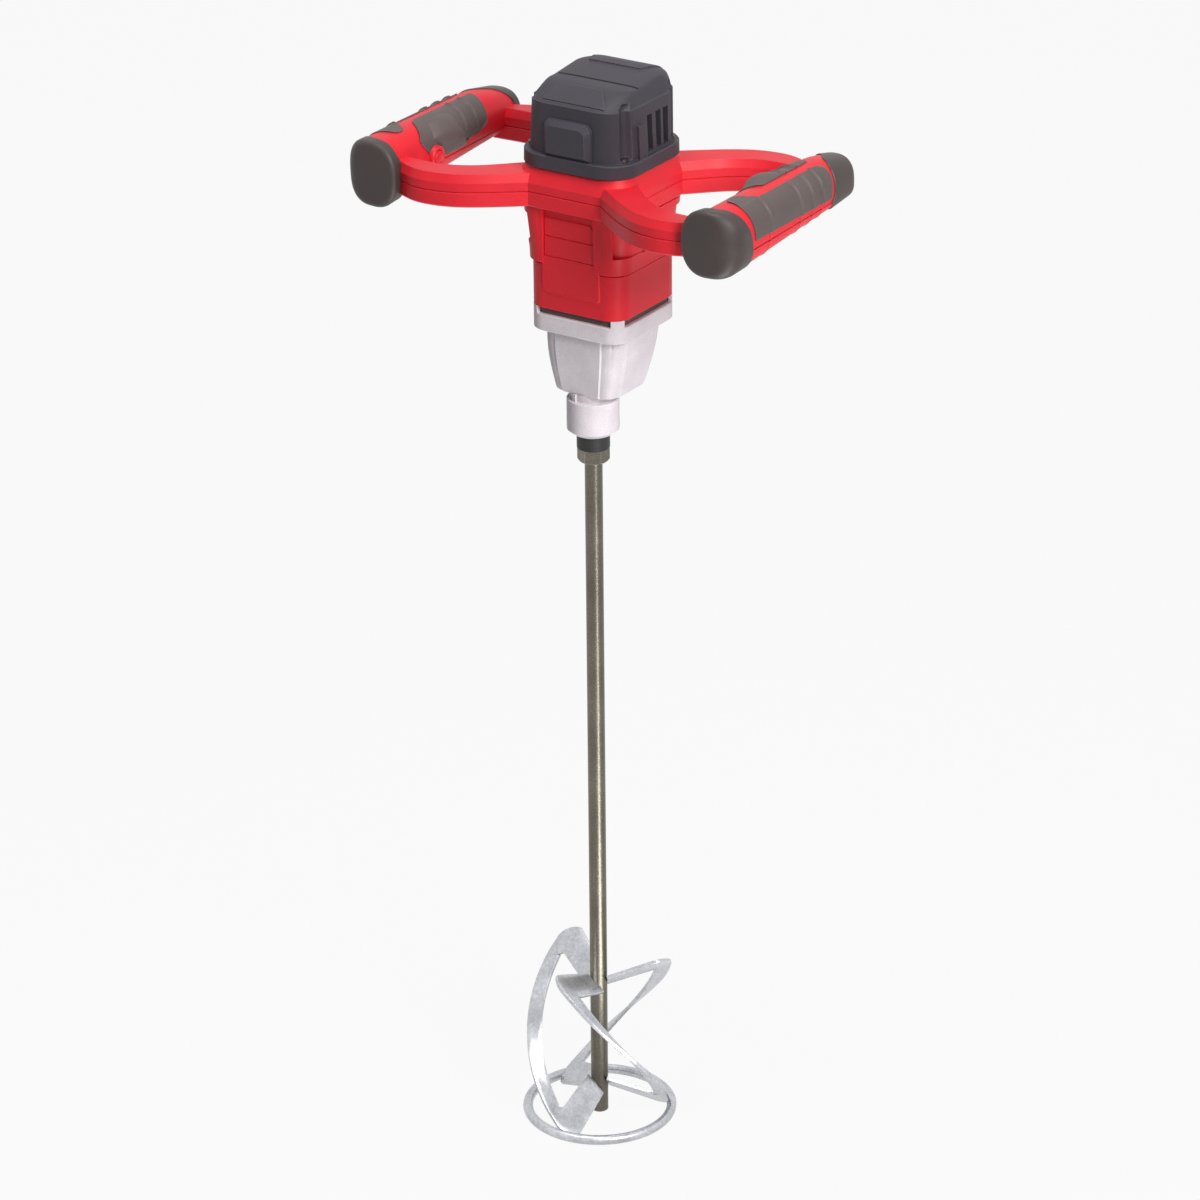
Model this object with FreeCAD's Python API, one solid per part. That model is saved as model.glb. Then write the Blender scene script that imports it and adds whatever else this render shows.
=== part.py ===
"""Two-handed mixing drill with a plaster paddle, as separate pieces in millimetres.

The spindle axis is Z, the origin is the lower edge of the round clamping collar, +Z goes up through
the gearbox to the motor cap and the paddle hangs below. The motor stands behind the spindle, at +Y.
"""
import FreeCAD, Part
import math
import os

Vector = FreeCAD.Vector

# Fits and walls
bearing_fit = 0.03
slide_fit = 0.3
run_gap = 0.6
weld_gap = 0.05
plastic_wall = 3.0
casting_wall = 3.2

# Motor housing; the drive inside is laid out in 85ths of its half width
housing_half = 42.5
grid = housing_half / 85
motor_offset = 31 * grid
housing_corner = 30 * grid
housing_height = 81.3
panel_half_width = 49 * grid
panel_height = 61.0
panel_lift = 14.0
panel_depth = 1.2
shroud_height = 44.0
shroud_thickness = 1.4
window_length = 30.0
window_height = 20.0
window_slots = 4
window_slot_share = 0.6

# Gearbox casting, from the collar upwards
collar_r = 20.5
collar_height = 25.0
collar_chamfer = 4.5
mouth_gap = 0.4
mouth_lip = 1.0
seal_lift = 3.0
neck_r = 17.5
neck_height = 6.0
case_height = 51.0
case_foot_half = 58 * grid
case_foot_corner = 24 * grid
case_foot_back = 21.6 * grid
case_head_half = 72 * grid
case_head_corner = 30 * grid
case_sections = 5
flange_step = 0.1
flange_half = housing_half + flange_step
flange_corner = housing_corner
flange_height = 13.5
post_height = 5.2
post_reach = 30 * grid
case_floor = 3.0

# Handle frame, a pair of plates parted along a level line
frame_lower_height = 10.5
frame_upper_height = 17.5
frame_bevel = 4.0
frame_under_bevel = 2.0
ring_step = 7.5
ring_half = housing_half + ring_step
ring_corner = housing_corner + 10 * grid
rim_height = 5.9
rim_inset = 1.4
arm_wall = 4.0
arm_front = 88.5
arm_root_half = ring_half - ring_corner
arm_knee_x = 92.0
arm_knee_radius = 34.0
hand_gap_step = 12.0
hand_gap_root = ring_half - hand_gap_step
hand_gap_depth = 60.5
hand_gap_knee_x = 98.0
hand_gap_radius = 16.0

# Handle bars
handle_x = 154.0
handle_rise = 7.5
bar_half_width = 20.5
bar_half_height = 25.0
bar_corner = 17.0
bar_half_length = 77.0
bar_wall = 5.5
end_cap_length = 16.0
end_cap_round = 6.0
end_cap_plug = 7.0
pad_front = 53.0
pad_back = 55.0
pad_depth = 1.6
pad_proud = 0.8
stripe_half = 3.2
pad_rib_shares = (0.1, 0.68, 0.78, 0.88)
rib_width = 3.4
rib_proud = 0.7

# Motor cap
cap_step = 0.4
cap_flange_half = ring_half - cap_step
cap_flange_corner = 50 * grid
cap_flange_height = 10.9
cap_foot_half = 93 * grid
cap_shoulder_half = 86.4 * grid
cap_corner = 42 * grid
cap_body_height = 39.5
cap_dome_height = 18.0
cap_crown_half = 48 * grid
cap_crown_corner = 30 * grid
cap_dome_steps = 5
cap_wall = 2.6
vent_width = 4.2
vent_height = 34.0
vent_pitch = 12.6
vent_first = -7.4
vent_count = 3
cap_pad_half = 41 * grid
cap_pad_height = 28.0
cap_pad_proud = 8.0
screw_groove_r = 3.6
cap_screw_inset = 5.4
cap_screw_corner = 14.3

# Spindle and its bearings
nose_r = 13.0
nose_length = 13.0
spindle_r = 10.0
gear_seat_r = 9.0
stud_r = 7.0
stud_length = 18.0
spindle_bearing_r = 33 * grid
spindle_bearing_width = 12.0
race_thickness = 2.4
seal_height = 2.6
key_width = 4.0
key_height = 4.0

# Paddle
hex_across_flats = 22.0
hex_height = 10.5
rod_r = 7.0
rod_length = 577.0
ring_wire_r = 4.0
blade_outer_r = 59.0
ring_centre_r = blade_outer_r
blade_count = 3
blade_run_width = 12.0
blade_arm_width = 20.0
blade_plate = 3.0
blade_tilt = 50.0
blade_twist = 115.0
blade_first_angle = 34.0
blade_root_top = 118.0
blade_top = 134.0
blade_low = 11.0
blade_root_low = 27.0
blade_outer_corner = 12.0
blade_inner_corner = 3.0
blade_corner_steps = 5
blade_run_steps = 10

# Gear train
pressure_angle = 20.0
tooth_root = 1.25
tooth_tip = 0.95
flank_steps = 5
backlash = 0.25
first_module = 2 * grid
first_pinion_teeth = 9
first_gear_teeth = 30
first_shift = 0.5
second_module = 2.5 * grid
second_pinion_teeth = 11
second_gear_teeth = 35
second_shift = 0.4
gear_width = 8.0
gear_gap = 1.0
layshaft_r = 8 * grid
bush_r = 14 * grid
bush_length = 7.0

# Motor
shaft_r = 10 * grid
rotor_r = 43 * grid
air_gap = 0.8
stack_height = 44.0
rotor_slots = 12
slot_depth = 14 * grid
slot_width = 3.6
winding_overhang = 7.0
commutator_r = 24 * grid
commutator_height = 15.0
commutator_bars = 24
commutator_groove = 0.6
fan_r = 66 * grid
fan_height = 9.0
fan_blades = 11
fan_disc = 2.0
fan_hub_wall = 4.0
fan_eye = 5.0
fan_blade_half = 0.9
fan_blade_inset = 1.0
rotor_bearing_r = 22 * grid
rotor_bearing_width = 7.0
stator_half = 74 * grid
coil_thickness = 14 * grid
coil_half_angle = 42.0
coil_room = 0.1
pole_lip = 1.0
lug_half = 6.0
brush_width = 6.0
brush_height = 9.0
brush_length = 32 * grid
brush_gap = 2.0
holder_wall = 2.0
bridge_height = 9.0

# Switch gear in the left handle
trigger_length = 34.0
trigger_height = 18.0
trigger_proud = 5.5
trigger_thickness = 8.0
trigger_press = 9.0
trigger_pin_r = 1.5
trigger_pin_seat = 3.0
trigger_back = 12.0
button_r = 4.0
button_boss_r = 6.2
button_boss_height = 2.4
button_travel = 3.0
button_flange = 1.5
spring_r = 3.0
spring_wire = 0.8
button_from_motor = 30.0
switch_length = 56.0
switch_width = 15.0
switch_height = 16.0

# Cord inlet and screws
cord_bore_r = 4.2
gland_r = 8.0
gland_length = 18.0
gland_lip = 2.0
screw_r = 2.0
screw_head_r = 3.2
screw_head_height = 2.6
screw_boss_r = 4.8
frame_screw_length = 15.0
cap_screw_grip = 10.0
cap_screw_seat = 1.0
screw_tip_gap = 1.0

# Levels along the spindle axis
z_mouth = -collar_chamfer
z_seal = z_mouth + seal_lift
z_neck = collar_height
z_case = z_neck + neck_height
z_flange = z_case + case_height
z_deck = z_flange + flange_height
z_housing = z_deck + post_height
z_frame = z_housing + housing_height
z_parting = z_frame + frame_lower_height
z_frame_top = z_parting + frame_upper_height
z_rim = z_frame_top + rim_height
z_cap_body = z_rim + cap_flange_height
z_shoulder = z_cap_body + cap_body_height
z_top = z_shoulder + cap_dome_height
z_handle = z_parting + handle_rise
z_hex_top = z_mouth - nose_length
z_hex = z_hex_top - hex_height
z_floor = z_hex - rod_length
motor_axis = Vector(0, motor_offset, 0)


def rounded_rect(half_x, half_y, corner, z, x=0.0, y=0.0):
    """Closed wire of four lines and four quarter arcs, level at height z."""
    a = half_x - corner
    b = half_y - corner
    k = corner * math.sqrt(0.5)
    edges = []
    for sx, sy, first in ((1, -1, True), (1, 1, False), (-1, 1, True), (-1, -1, False)):
        centre = Vector(x + sx * a, y + sy * b, z)
        side_x = centre + Vector(sx * corner, 0, 0)
        side_y = centre + Vector(0, sy * corner, 0)
        middle = centre + Vector(sx * k, sy * k, 0)
        start, end = (side_y, side_x) if first else (side_x, side_y)
        edges.append((start, middle, end))
    parts = []
    for i, (start, middle, end) in enumerate(edges):
        parts.append(Part.Arc(start, middle, end).toShape())
        parts.append(Part.LineSegment(end, edges[(i + 1) % 4][0]).toShape())
    return Part.Wire(parts)


def prism(wire, height):
    """Solid between a level wire and its copy higher up."""
    return Part.Face(wire).extrude(Vector(0, 0, height))


def block(x0, x1, y0, y1, z0, z1):
    """Box between two corners."""
    return Part.makeBox(x1 - x0, y1 - y0, z1 - z0, Vector(x0, y0, z0))


def post(radius, z0, z1, x=0.0, y=0.0):
    """Upright cylinder between two heights."""
    return Part.makeCylinder(radius, z1 - z0, Vector(x, y, z0))


def tube(outer, inner, z0, z1, x=0.0, y=0.0):
    """Upright ring between two heights."""
    return post(outer, z0, z1, x, y).cut(post(inner, z0, z1, x, y))


def lying(radius, length, base, direction):
    """Cylinder from a base point along any direction."""
    return Part.makeCylinder(radius, length, base, direction)


def loft(wires):
    """Closed solid skinned straight from wire to wire."""
    return Part.makeLoft(wires, True, True)


def rounded_polygon(points, z):
    """Wire through level corner points (x, y, radius), each corner an arc tangent to its sides."""
    count = len(points)
    corners = [Vector(x, y, z) for x, y, radius in points]
    arcs = []
    for i in range(count):
        radius = points[i][2]
        here = corners[i]
        back = (corners[i - 1] - here).normalize()
        ahead = (corners[(i + 1) % count] - here).normalize()
        half = back.getAngle(ahead) / 2
        if radius <= 0:
            arcs.append((here, None, here))
            continue
        reach = radius / math.tan(half)
        inward = (back + ahead).normalize()
        middle = here + inward * (radius / math.sin(half) - radius)
        arcs.append((here + back * reach, middle, here + ahead * reach))
    edges = []
    for i in range(count):
        start, middle, end = arcs[i]
        if middle is not None:
            edges.append(Part.Arc(start, middle, end).toShape())
        following = arcs[(i + 1) % count][0]
        if (following - end).Length > 1e-6:
            edges.append(Part.LineSegment(end, following).toShape())
    return Part.Wire(edges)


def polygon_prism(points, height):
    """Solid on a closed outline of points, carried up by height."""
    return Part.Face(Part.makePolygon(points + [points[0]])).extrude(Vector(0, 0, height))


def mirrored(shape):
    """Copy on the other side of the plane x = 0."""
    return shape.mirror(Vector(0, 0, 0), Vector(1, 0, 0))


def turned_end(shape):
    """Copy on the other side of the upright plane through the motor axis, across Y."""
    return shape.mirror(motor_axis, Vector(0, 1, 0))


def save(name, shapes):
    """One file per piece; a list is a group of like solids."""
    group = shapes if isinstance(shapes, list) else [shapes]
    solids = [solid for shape in group for solid in shape.Solids]
    body = solids[0] if len(solids) == 1 else Part.makeCompound(solids)
    body.exportStep("parts/" + name + ".step")


# Gear teeth

def involute(angle):
    """Involute function of a pressure angle in radians."""
    return math.tan(angle) - angle


def gear(teeth, module, shift, width, z, centre, tooth_angle):
    """Spur gear with straight-sided involute steps, one tooth centred on tooth_angle (radians)."""
    pitch_r = teeth * module / 2
    pressure = math.radians(pressure_angle)
    base_r = pitch_r * math.cos(pressure)
    root_r = pitch_r + (shift - tooth_root) * module
    tip_r = pitch_r + (shift + tooth_tip) * module
    half_pitch = math.pi / (2 * teeth) + 2 * shift * math.tan(pressure) / teeth
    half_pitch = half_pitch - backlash / (4 * pitch_r)
    start_r = max(base_r * 1.001, root_r + 0.1 * module)
    flank = []
    for step in range(flank_steps):
        radius = start_r + (tip_r - start_r) * step / (flank_steps - 1)
        lean = involute(math.acos(base_r / radius))
        flank.append((radius, half_pitch + involute(pressure) - lean))
    flank.insert(0, (root_r, flank[0][1]))
    points = []
    for tooth in range(teeth):
        middle = tooth_angle + 2 * math.pi * tooth / teeth
        sides = [(r, -a) for r, a in flank] + [(r, a) for r, a in reversed(flank)]
        for radius, offset in sides:
            x = centre.x + radius * math.cos(middle + offset)
            y = centre.y + radius * math.sin(middle + offset)
            points.append(Vector(x, y, z))
    return polygon_prism(points, width)


# Layout of the gear train: the layshaft stands where both pairs mesh
first_distance = first_module * (first_pinion_teeth + first_gear_teeth) / 2
second_distance = second_module * (second_pinion_teeth + second_gear_teeth) / 2
layshaft_y = (second_distance ** 2 - first_distance ** 2 + motor_offset ** 2) / (2 * motor_offset)
layshaft_x = math.sqrt(second_distance ** 2 - layshaft_y ** 2)
layshaft_axis = Vector(layshaft_x, layshaft_y, 0)
first_direction = math.atan2(layshaft_y - motor_offset, layshaft_x)
second_direction = math.atan2(layshaft_y, layshaft_x)
z_second = z_flange + case_floor + gear_gap
z_first = z_deck + gear_gap
first_gear_tip = first_module * (first_gear_teeth / 2 + tooth_tip - first_shift)
first_pinion_tip = first_module * (first_pinion_teeth / 2 + tooth_tip + first_shift)

# Levels inside the motor
z_pocket = z_first + gear_width + gear_gap
z_lower_bearing = z_pocket + gear_gap
z_plate_top = z_lower_bearing + rotor_bearing_width
z_fan = z_plate_top + 3 * run_gap
z_stack = z_fan + fan_height + winding_overhang + 2 * run_gap
z_stack_top = z_stack + stack_height
z_commutator = z_stack_top + winding_overhang + 3 * run_gap
z_commutator_top = z_commutator + commutator_height
z_bridge = z_commutator_top + 3 * run_gap
z_upper_bearing = z_bridge + bridge_height - rotor_bearing_width
z_shaft_top = z_upper_bearing + rotor_bearing_width

cavity_half = flange_half - casting_wall
inner_half = housing_half - plastic_wall
inner_corner = housing_corner - plastic_wall
plate_half = min(cavity_half, inner_half) - slide_fit / 3


# Gearbox casting
def gearbox_shell():
    """Collar, neck, tapered case, flange and corner posts as the outside of one casting."""
    collar = post(collar_r, 0, collar_height)
    mouth_r = nose_r + mouth_gap + mouth_lip
    chamfer = Part.makeCone(mouth_r, collar_r, collar_chamfer, Vector(0, 0, z_mouth))
    neck = post(neck_r, z_neck, z_case)
    sections = []
    for step in range(case_sections):
        share = step / (case_sections - 1)
        swell = math.sin(math.pi / 2 * share)
        half = case_foot_half + (case_head_half - case_foot_half) * swell
        corner = case_foot_corner + (case_head_corner - case_foot_corner) * share
        back = case_foot_back + (motor_offset - case_foot_back) * share
        sections.append(rounded_rect(half, half, corner, z_case + case_height * share, 0, back))
    case = loft(sections)
    outline = rounded_rect(flange_half, flange_half, flange_corner, z_flange, 0, motor_offset)
    flange = prism(outline, flange_height)
    shell = collar.fuse([chamfer, neck, case, flange] + corner_posts())
    return shell.removeSplitter()


def corner_posts():
    """Four corner walls that carry the motor housing above the open slots of the deck."""
    outer = rounded_rect(flange_half, flange_half, flange_corner, z_deck, 0, motor_offset)
    inner = rounded_rect(cavity_half, cavity_half, flange_corner - casting_wall, z_deck, 0, motor_offset)
    wall = prism(outer, post_height).cut(prism(inner, post_height))
    keep = flange_half - post_reach
    posts = []
    for sx in (-1, 1):
        for sy in (-1, 1):
            x0, x1 = sorted((sx * keep, sx * flange_half))
            y0, y1 = sorted((motor_offset + sy * keep, motor_offset + sy * flange_half))
            posts.append(wall.common(block(x0, x1, y0, y1, z_deck, z_housing)))
    return posts


lower_bearing_z = z_seal + seal_height + mouth_gap
z_gear_floor = z_flange + case_floor
upper_bearing_z = z_gear_floor - spindle_bearing_width
through_r = spindle_bearing_r - race_thickness


def make_gearbox():
    shell = gearbox_shell()
    cavity_outline = rounded_rect(
        cavity_half, cavity_half, flange_corner - casting_wall, z_gear_floor, 0, motor_offset)
    cavity = prism(cavity_outline, z_housing - z_gear_floor)
    seat_r = spindle_bearing_r + bearing_fit
    cuts = [
        cavity,
        post(nose_r + mouth_gap, z_mouth, z_seal),
        post(seat_r, z_seal, lower_bearing_z + spindle_bearing_width),
        post(through_r, z_seal, z_gear_floor),
        post(seat_r, upper_bearing_z, z_gear_floor),
        post(bush_r + bearing_fit, z_gear_floor - bush_length, z_gear_floor, layshaft_x, layshaft_y),
    ]
    for x, y in gearbox_screw_places():
        cuts.append(post(screw_r + slide_fit, z_flange, z_housing, x, y))
        cuts.append(post(screw_head_r + slide_fit, z_flange, z_flange + screw_head_height, x, y))
    return shell.cut(cuts)


def gearbox_screw_places():
    """Plan places of the four screws that hold the casting to the motor housing."""
    reach = flange_half - flange_corner / 2
    return [(sx * reach, motor_offset + sy * reach) for sx in (-1, 1) for sy in (-1, 1)]


def make_gearbox_screws():
    """Cap screws with their heads sunk in the underside of the flange."""
    screws = []
    z_seat = z_flange + screw_head_height
    for x, y in gearbox_screw_places():
        head = post(screw_head_r, z_flange, z_seat, x, y)
        shank = post(screw_r, z_seat, z_housing + 2 * plastic_wall, x, y)
        screws.append(head.fuse(shank).removeSplitter())
    return screws


# Plate between gearbox and motor, with the first gear pair in its pocket
def make_bearing_plate():
    outline = rounded_rect(plate_half, plate_half, inner_corner, z_deck, 0, motor_offset)
    plate = prism(outline, z_plate_top - z_deck)
    seat_r = rotor_bearing_r + bearing_fit
    cuts = [
        post(first_gear_tip + run_gap * 2, z_deck, z_pocket, layshaft_x, layshaft_y),
        post(first_pinion_tip + run_gap * 2, z_deck, z_pocket, 0, motor_offset),
        post(shaft_r + run_gap * 2, z_deck, z_plate_top, 0, motor_offset),
        post(seat_r, z_lower_bearing, z_plate_top, 0, motor_offset),
        post(bush_r + bearing_fit, z_plate_top - bush_length, z_plate_top, layshaft_x, layshaft_y),
        post(layshaft_r + run_gap, z_deck, z_plate_top, layshaft_x, layshaft_y),
        post(gear_seat_r + run_gap, z_deck, z_deck + gear_gap, 0, 0),
    ]
    for x, y in gearbox_screw_places():
        cuts.append(post(screw_boss_r + slide_fit, z_deck, z_plate_top, x, y))
    return plate.cut(cuts)


# Motor housing
def make_housing():
    """Square tube with a recessed front panel and screw bosses inside its lower corners."""
    height = z_rim - z_housing
    outer_outline = rounded_rect(housing_half, housing_half, housing_corner, z_housing, 0, motor_offset)
    outer = prism(outer_outline, height)
    inner = prism(rounded_rect(inner_half, inner_half, inner_corner, z_housing, 0, motor_offset), height)
    panel_z = z_housing + panel_lift
    front = motor_offset - housing_half
    recess = block(-panel_half_width, panel_half_width, front, front + panel_depth,
                   panel_z, panel_z + panel_height)
    shell = outer.cut([inner, recess])
    bosses = []
    holes = []
    for x, y in gearbox_screw_places():
        bosses.append(post(screw_boss_r, z_housing, z_plate_top, x, y))
        holes.append(post(screw_r + bearing_fit, z_housing, z_housing + 2 * plastic_wall, x, y))
    for x, y in cap_screw_places():
        bosses.append(post(screw_boss_r, z_rim - cap_screw_grip - plastic_wall, z_rim, x, y))
        holes.append(cap_screw_hole(x, y))
    shell = shell.fuse([boss.common(outer) for boss in bosses])
    for sx in (-1, 1):
        x0, x1 = sorted((sx * inner_half, sx * housing_half))
        holes.append(block(x0, x1, motor_offset - window_length / 2, motor_offset + window_length / 2,
                           window_z(), window_z() + window_height))
    return shell.cut(holes).removeSplitter()


def window_z():
    """Lower edge of the air outlet behind each side shroud."""
    return z_frame - shroud_height + (shroud_height - window_height) / 2


def make_shroud():
    """Right-hand air shroud: a thin cover wrapped round the side and its two corners."""
    half = housing_half + shroud_thickness
    z0 = z_frame - shroud_height
    corner = housing_corner + shroud_thickness
    outer = prism(rounded_rect(half, half, corner, z0, 0, motor_offset), shroud_height)
    inner_outline = rounded_rect(housing_half, housing_half, housing_corner, z0, 0, motor_offset)
    inner = prism(inner_outline, shroud_height)
    side = block(panel_half_width, half, motor_offset - half, motor_offset + half, z0, z_frame)
    cover = outer.cut(inner).common(side)
    slots = []
    pitch = window_height / window_slots
    y0 = motor_offset - window_length / 2
    for i in range(window_slots):
        z = window_z() + pitch * (i + (1 - window_slot_share) / 2)
        slots.append(block(housing_half, half, y0, y0 + window_length, z, z + pitch * window_slot_share))
    return cover.cut(slots)


# Handle frame
def arm_outline(inset):
    """Corner points of the front right arm, from ring to handle, drawn in by inset."""
    front = motor_offset - arm_front + inset
    gap_front = motor_offset - hand_gap_depth - inset
    gap_root = motor_offset - hand_gap_root - inset
    ring_front = motor_offset - ring_half
    return [
        (arm_root_half + inset, ring_front, 0),
        (arm_knee_x + inset, front, arm_knee_radius),
        (handle_x, front, 0),
        (handle_x, gap_front, 0),
        (hand_gap_knee_x - inset, gap_front, hand_gap_radius + inset),
        (ring_half - inset, gap_root, 0),
        (ring_half - ring_corner, gap_root, 0),
    ]


def arm_wire(inset, z):
    """Level outline of the front right arm."""
    return rounded_polygon(arm_outline(inset), z)


def four_corners(arm):
    """The same arm solid at all four corners."""
    pair = [arm, mirrored(arm)]
    return pair + [turned_end(a) for a in pair]


def bar_section(offset, y):
    """Oval section of a right-hand bar, upright across Y, grown by offset."""
    wire = rounded_rect(bar_half_width + offset, bar_half_height + offset, bar_corner + offset, 0)
    wire.rotate(Vector(0, 0, 0), Vector(1, 0, 0), 90)
    wire.translate(Vector(handle_x, y, z_handle))
    return wire


def bar_prism(offset, y0, y1):
    """Length of bar section between two places along Y."""
    return Part.Face(bar_section(offset, y0)).extrude(Vector(0, y1 - y0, 0))


bar_front = motor_offset - bar_half_length
bar_back = motor_offset + bar_half_length


def bevelled(outline):
    """Solid as high as the frame on an outline(inset, z), bevelled along its upper and lower edges."""
    levels = ((frame_under_bevel, z_frame), (0, z_frame + frame_under_bevel),
              (0, z_frame_top - frame_bevel), (frame_bevel, z_frame_top))
    return loft([outline(inset, z) for inset, z in levels])


def ring_outline(inset, z):
    """Outside of the ring round the motor housing."""
    half = ring_half - inset
    return rounded_rect(half, half, ring_corner, z, 0, motor_offset)


def frame_solid():
    """Ring, arms and bars in one, before it is parted into its two shells."""
    plate = bevelled(ring_outline).fuse(four_corners(bevelled(arm_wire)))
    top_half = ring_half - frame_bevel
    rim = loft([
        rounded_rect(top_half, top_half, ring_corner, z_frame_top, 0, motor_offset),
        rounded_rect(top_half - rim_inset, top_half - rim_inset, ring_corner, z_rim, 0, motor_offset),
    ])
    hollow_height = z_frame_top - z_frame - 2 * arm_wall
    hollow = four_corners(prism(arm_wire(arm_wall, z_frame + arm_wall), hollow_height))
    bars = [bar_prism(0, bar_front, bar_back)]
    bores = [bar_prism(-bar_wall, bar_front, bar_back)]
    bars.append(mirrored(bars[0]))
    bores.append(mirrored(bores[0]))
    opening = prism(rounded_rect(housing_half, housing_half, housing_corner, z_frame, 0, motor_offset),
                    z_rim - z_frame)
    frame = plate.fuse([rim] + bars)
    return frame.cut(hollow + bores + [opening]).removeSplitter()


def pad_sleeve():
    """Right-hand sleeve that the two grip pads are cut from, above the parting line."""
    y0 = motor_offset - pad_front
    y1 = motor_offset + pad_back
    sleeve = bar_prism(pad_proud, y0, y1).cut(bar_prism(-pad_depth, y0, y1))
    for share in pad_rib_shares:
        y = y0 + (y1 - y0) * share
        rib = bar_prism(pad_proud + rib_proud, y, y + rib_width).cut(bar_prism(-pad_depth, y, y + rib_width))
        sleeve = sleeve.fuse(rib)
    reach = bar_half_width + bar_half_height
    upper = block(handle_x - reach, handle_x + reach, y0, y1, z_parting, z_handle + reach)
    stripe = block(handle_x - stripe_half, handle_x + stripe_half, y0, y1, z_handle, z_handle + reach)
    return sleeve.removeSplitter().common(upper).cut(stripe)


# The trigger window and the lock button sit in the inner face of the left handle
inner_face_x = bar_half_width - handle_x
trigger_pin_y = motor_offset + trigger_back
trigger_front = trigger_pin_y - trigger_length
z_trigger = z_handle - trigger_height / 4
button_y = motor_offset - button_from_motor
button_axis = Vector(1, 0, 0)
trigger_pin_x = inner_face_x - bar_wall * 2 / 3
trigger_travel = trigger_length * math.sin(math.radians(trigger_press))


def trigger_window():
    """Opening for the trigger and its travel."""
    depth = trigger_thickness + trigger_travel + slide_fit
    return block(inner_face_x - depth, inner_face_x + trigger_proud,
                 trigger_front - 2 * slide_fit, trigger_pin_y + trigger_thickness / 2 + 4 * slide_fit,
                 z_trigger - slide_fit, z_trigger + trigger_height + slide_fit)


def button_bore(radius):
    """Cylinder through the inner wall of the left handle at the lock button."""
    return lying(radius, bar_wall + 2 * button_boss_height,
                 Vector(inner_face_x - bar_wall - button_boss_height / 2, button_y, z_handle), button_axis)


def button_boss():
    """Raised ring that guards the lock button."""
    return lying(button_boss_r, button_boss_height + bar_wall / 2,
                 Vector(inner_face_x - bar_wall / 2, button_y, z_handle), button_axis)


def frame_screw_places():
    """Plan places of the screws that close the two frame shells, in the solid ends of the arms."""
    tip_x = (arm_knee_x + handle_x - bar_half_width) / 2
    tip_y = motor_offset - (arm_front + hand_gap_depth) / 2
    root_x = ring_half + 2 * screw_head_r
    root_y = motor_offset - ring_half - screw_head_r
    front = [(sx * x, y) for x, y in ((tip_x, tip_y), (root_x, root_y)) for sx in (-1, 1)]
    return front + [(x, 2 * motor_offset - y) for x, y in front]


def make_frame(seated):
    """Upper and lower shell of the handle frame, cut out for the pieces seated in it."""
    frame = frame_solid().fuse(button_boss())
    bosses = [post(screw_boss_r, z_frame + frame_under_bevel, z_frame_top - frame_bevel, x, y)
              for x, y in frame_screw_places()]
    frame = frame.fuse(bosses).removeSplitter()
    cuts = list(seated) + [trigger_window(), make_trigger_pin(), button_bore(button_r + slide_fit)]
    z_seat = z_frame + screw_head_height
    for x, y in frame_screw_places():
        cuts.append(post(screw_head_r + slide_fit, z_frame, z_seat, x, y))
        cuts.append(post(screw_r + bearing_fit, z_seat, z_seat + frame_screw_length, x, y))
    cuts += [cap_screw_hole(x, y) for x, y in cap_screw_places()]
    frame = frame.cut(cuts)
    reach = handle_x + 2 * bar_half_width
    front = motor_offset - arm_front - bar_half_length
    back = motor_offset + arm_front + bar_half_length
    below = block(-reach, reach, front, back, z_frame - bar_half_height, z_parting)
    above = block(-reach, reach, front, back, z_parting, z_rim + bar_half_height)
    return frame.common(above), frame.common(below)


def make_frame_screws():
    """Screws driven from below through both shells."""
    screws = []
    z_seat = z_frame + screw_head_height
    for x, y in frame_screw_places():
        head = post(screw_head_r, z_frame, z_seat, x, y)
        shank = post(screw_r, z_seat, z_seat + frame_screw_length - screw_tip_gap, x, y)
        screws.append(head.fuse(shank).removeSplitter())
    return screws


def make_end_cap(bored):
    """Right front end cap: rounded rubber cover with a plug inside the bar."""
    full = bar_section(pad_proud, bar_front)
    shoulder = bar_section(pad_proud, bar_front - end_cap_length + end_cap_round)
    sections = [full, shoulder]
    for angle in (30, 60, 90):
        turn = math.radians(angle)
        drawn_in = end_cap_round * (1 - math.cos(turn))
        forward = end_cap_length - end_cap_round * (1 - math.sin(turn))
        sections.append(bar_section(pad_proud - drawn_in, bar_front - forward))
    cover = loft(sections)
    plug = bar_prism(-bar_wall - slide_fit / 3, bar_front, bar_front + end_cap_plug)
    cap = cover.fuse(plug).removeSplitter()
    if bored:
        cap = cap.cut(lying(gland_r + bearing_fit, end_cap_length + end_cap_plug,
                            Vector(handle_x, bar_front - end_cap_length, z_handle), Vector(0, 1, 0)))
    return cap


def make_gland():
    """Bored cord gland through the left rear end cap."""
    start = Vector(-handle_x, bar_back + end_cap_length - gland_length, z_handle)
    outer = lying(gland_r, gland_length, start, Vector(0, 1, 0))
    mouth = Vector(-handle_x, bar_back + end_cap_length, z_handle)
    lip = lying(gland_r + gland_lip, gland_lip, mouth, Vector(0, 1, 0))
    bore = lying(cord_bore_r, gland_length + gland_lip, start, Vector(0, 1, 0))
    return outer.fuse(lip).removeSplitter().cut(bore)


# Motor cap
def cap_sections(inset):
    """Level outlines of the cap from foot to crown, drawn in by inset."""
    rows = [(cap_foot_half, cap_corner, z_cap_body)]
    for step in range(cap_dome_steps):
        share = step / (cap_dome_steps - 1)
        drawn_in = 1 - math.cos(math.pi / 2 * share)
        half = cap_shoulder_half + (cap_crown_half - cap_shoulder_half) * drawn_in
        corner = cap_corner + (cap_crown_corner - cap_corner) * drawn_in
        rows.append((half, corner, z_shoulder + cap_dome_height * math.sin(math.pi / 2 * share)))
    return [rounded_rect(half - inset, half - inset, corner - inset, z, 0, motor_offset)
            for half, corner, z in rows]


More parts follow.
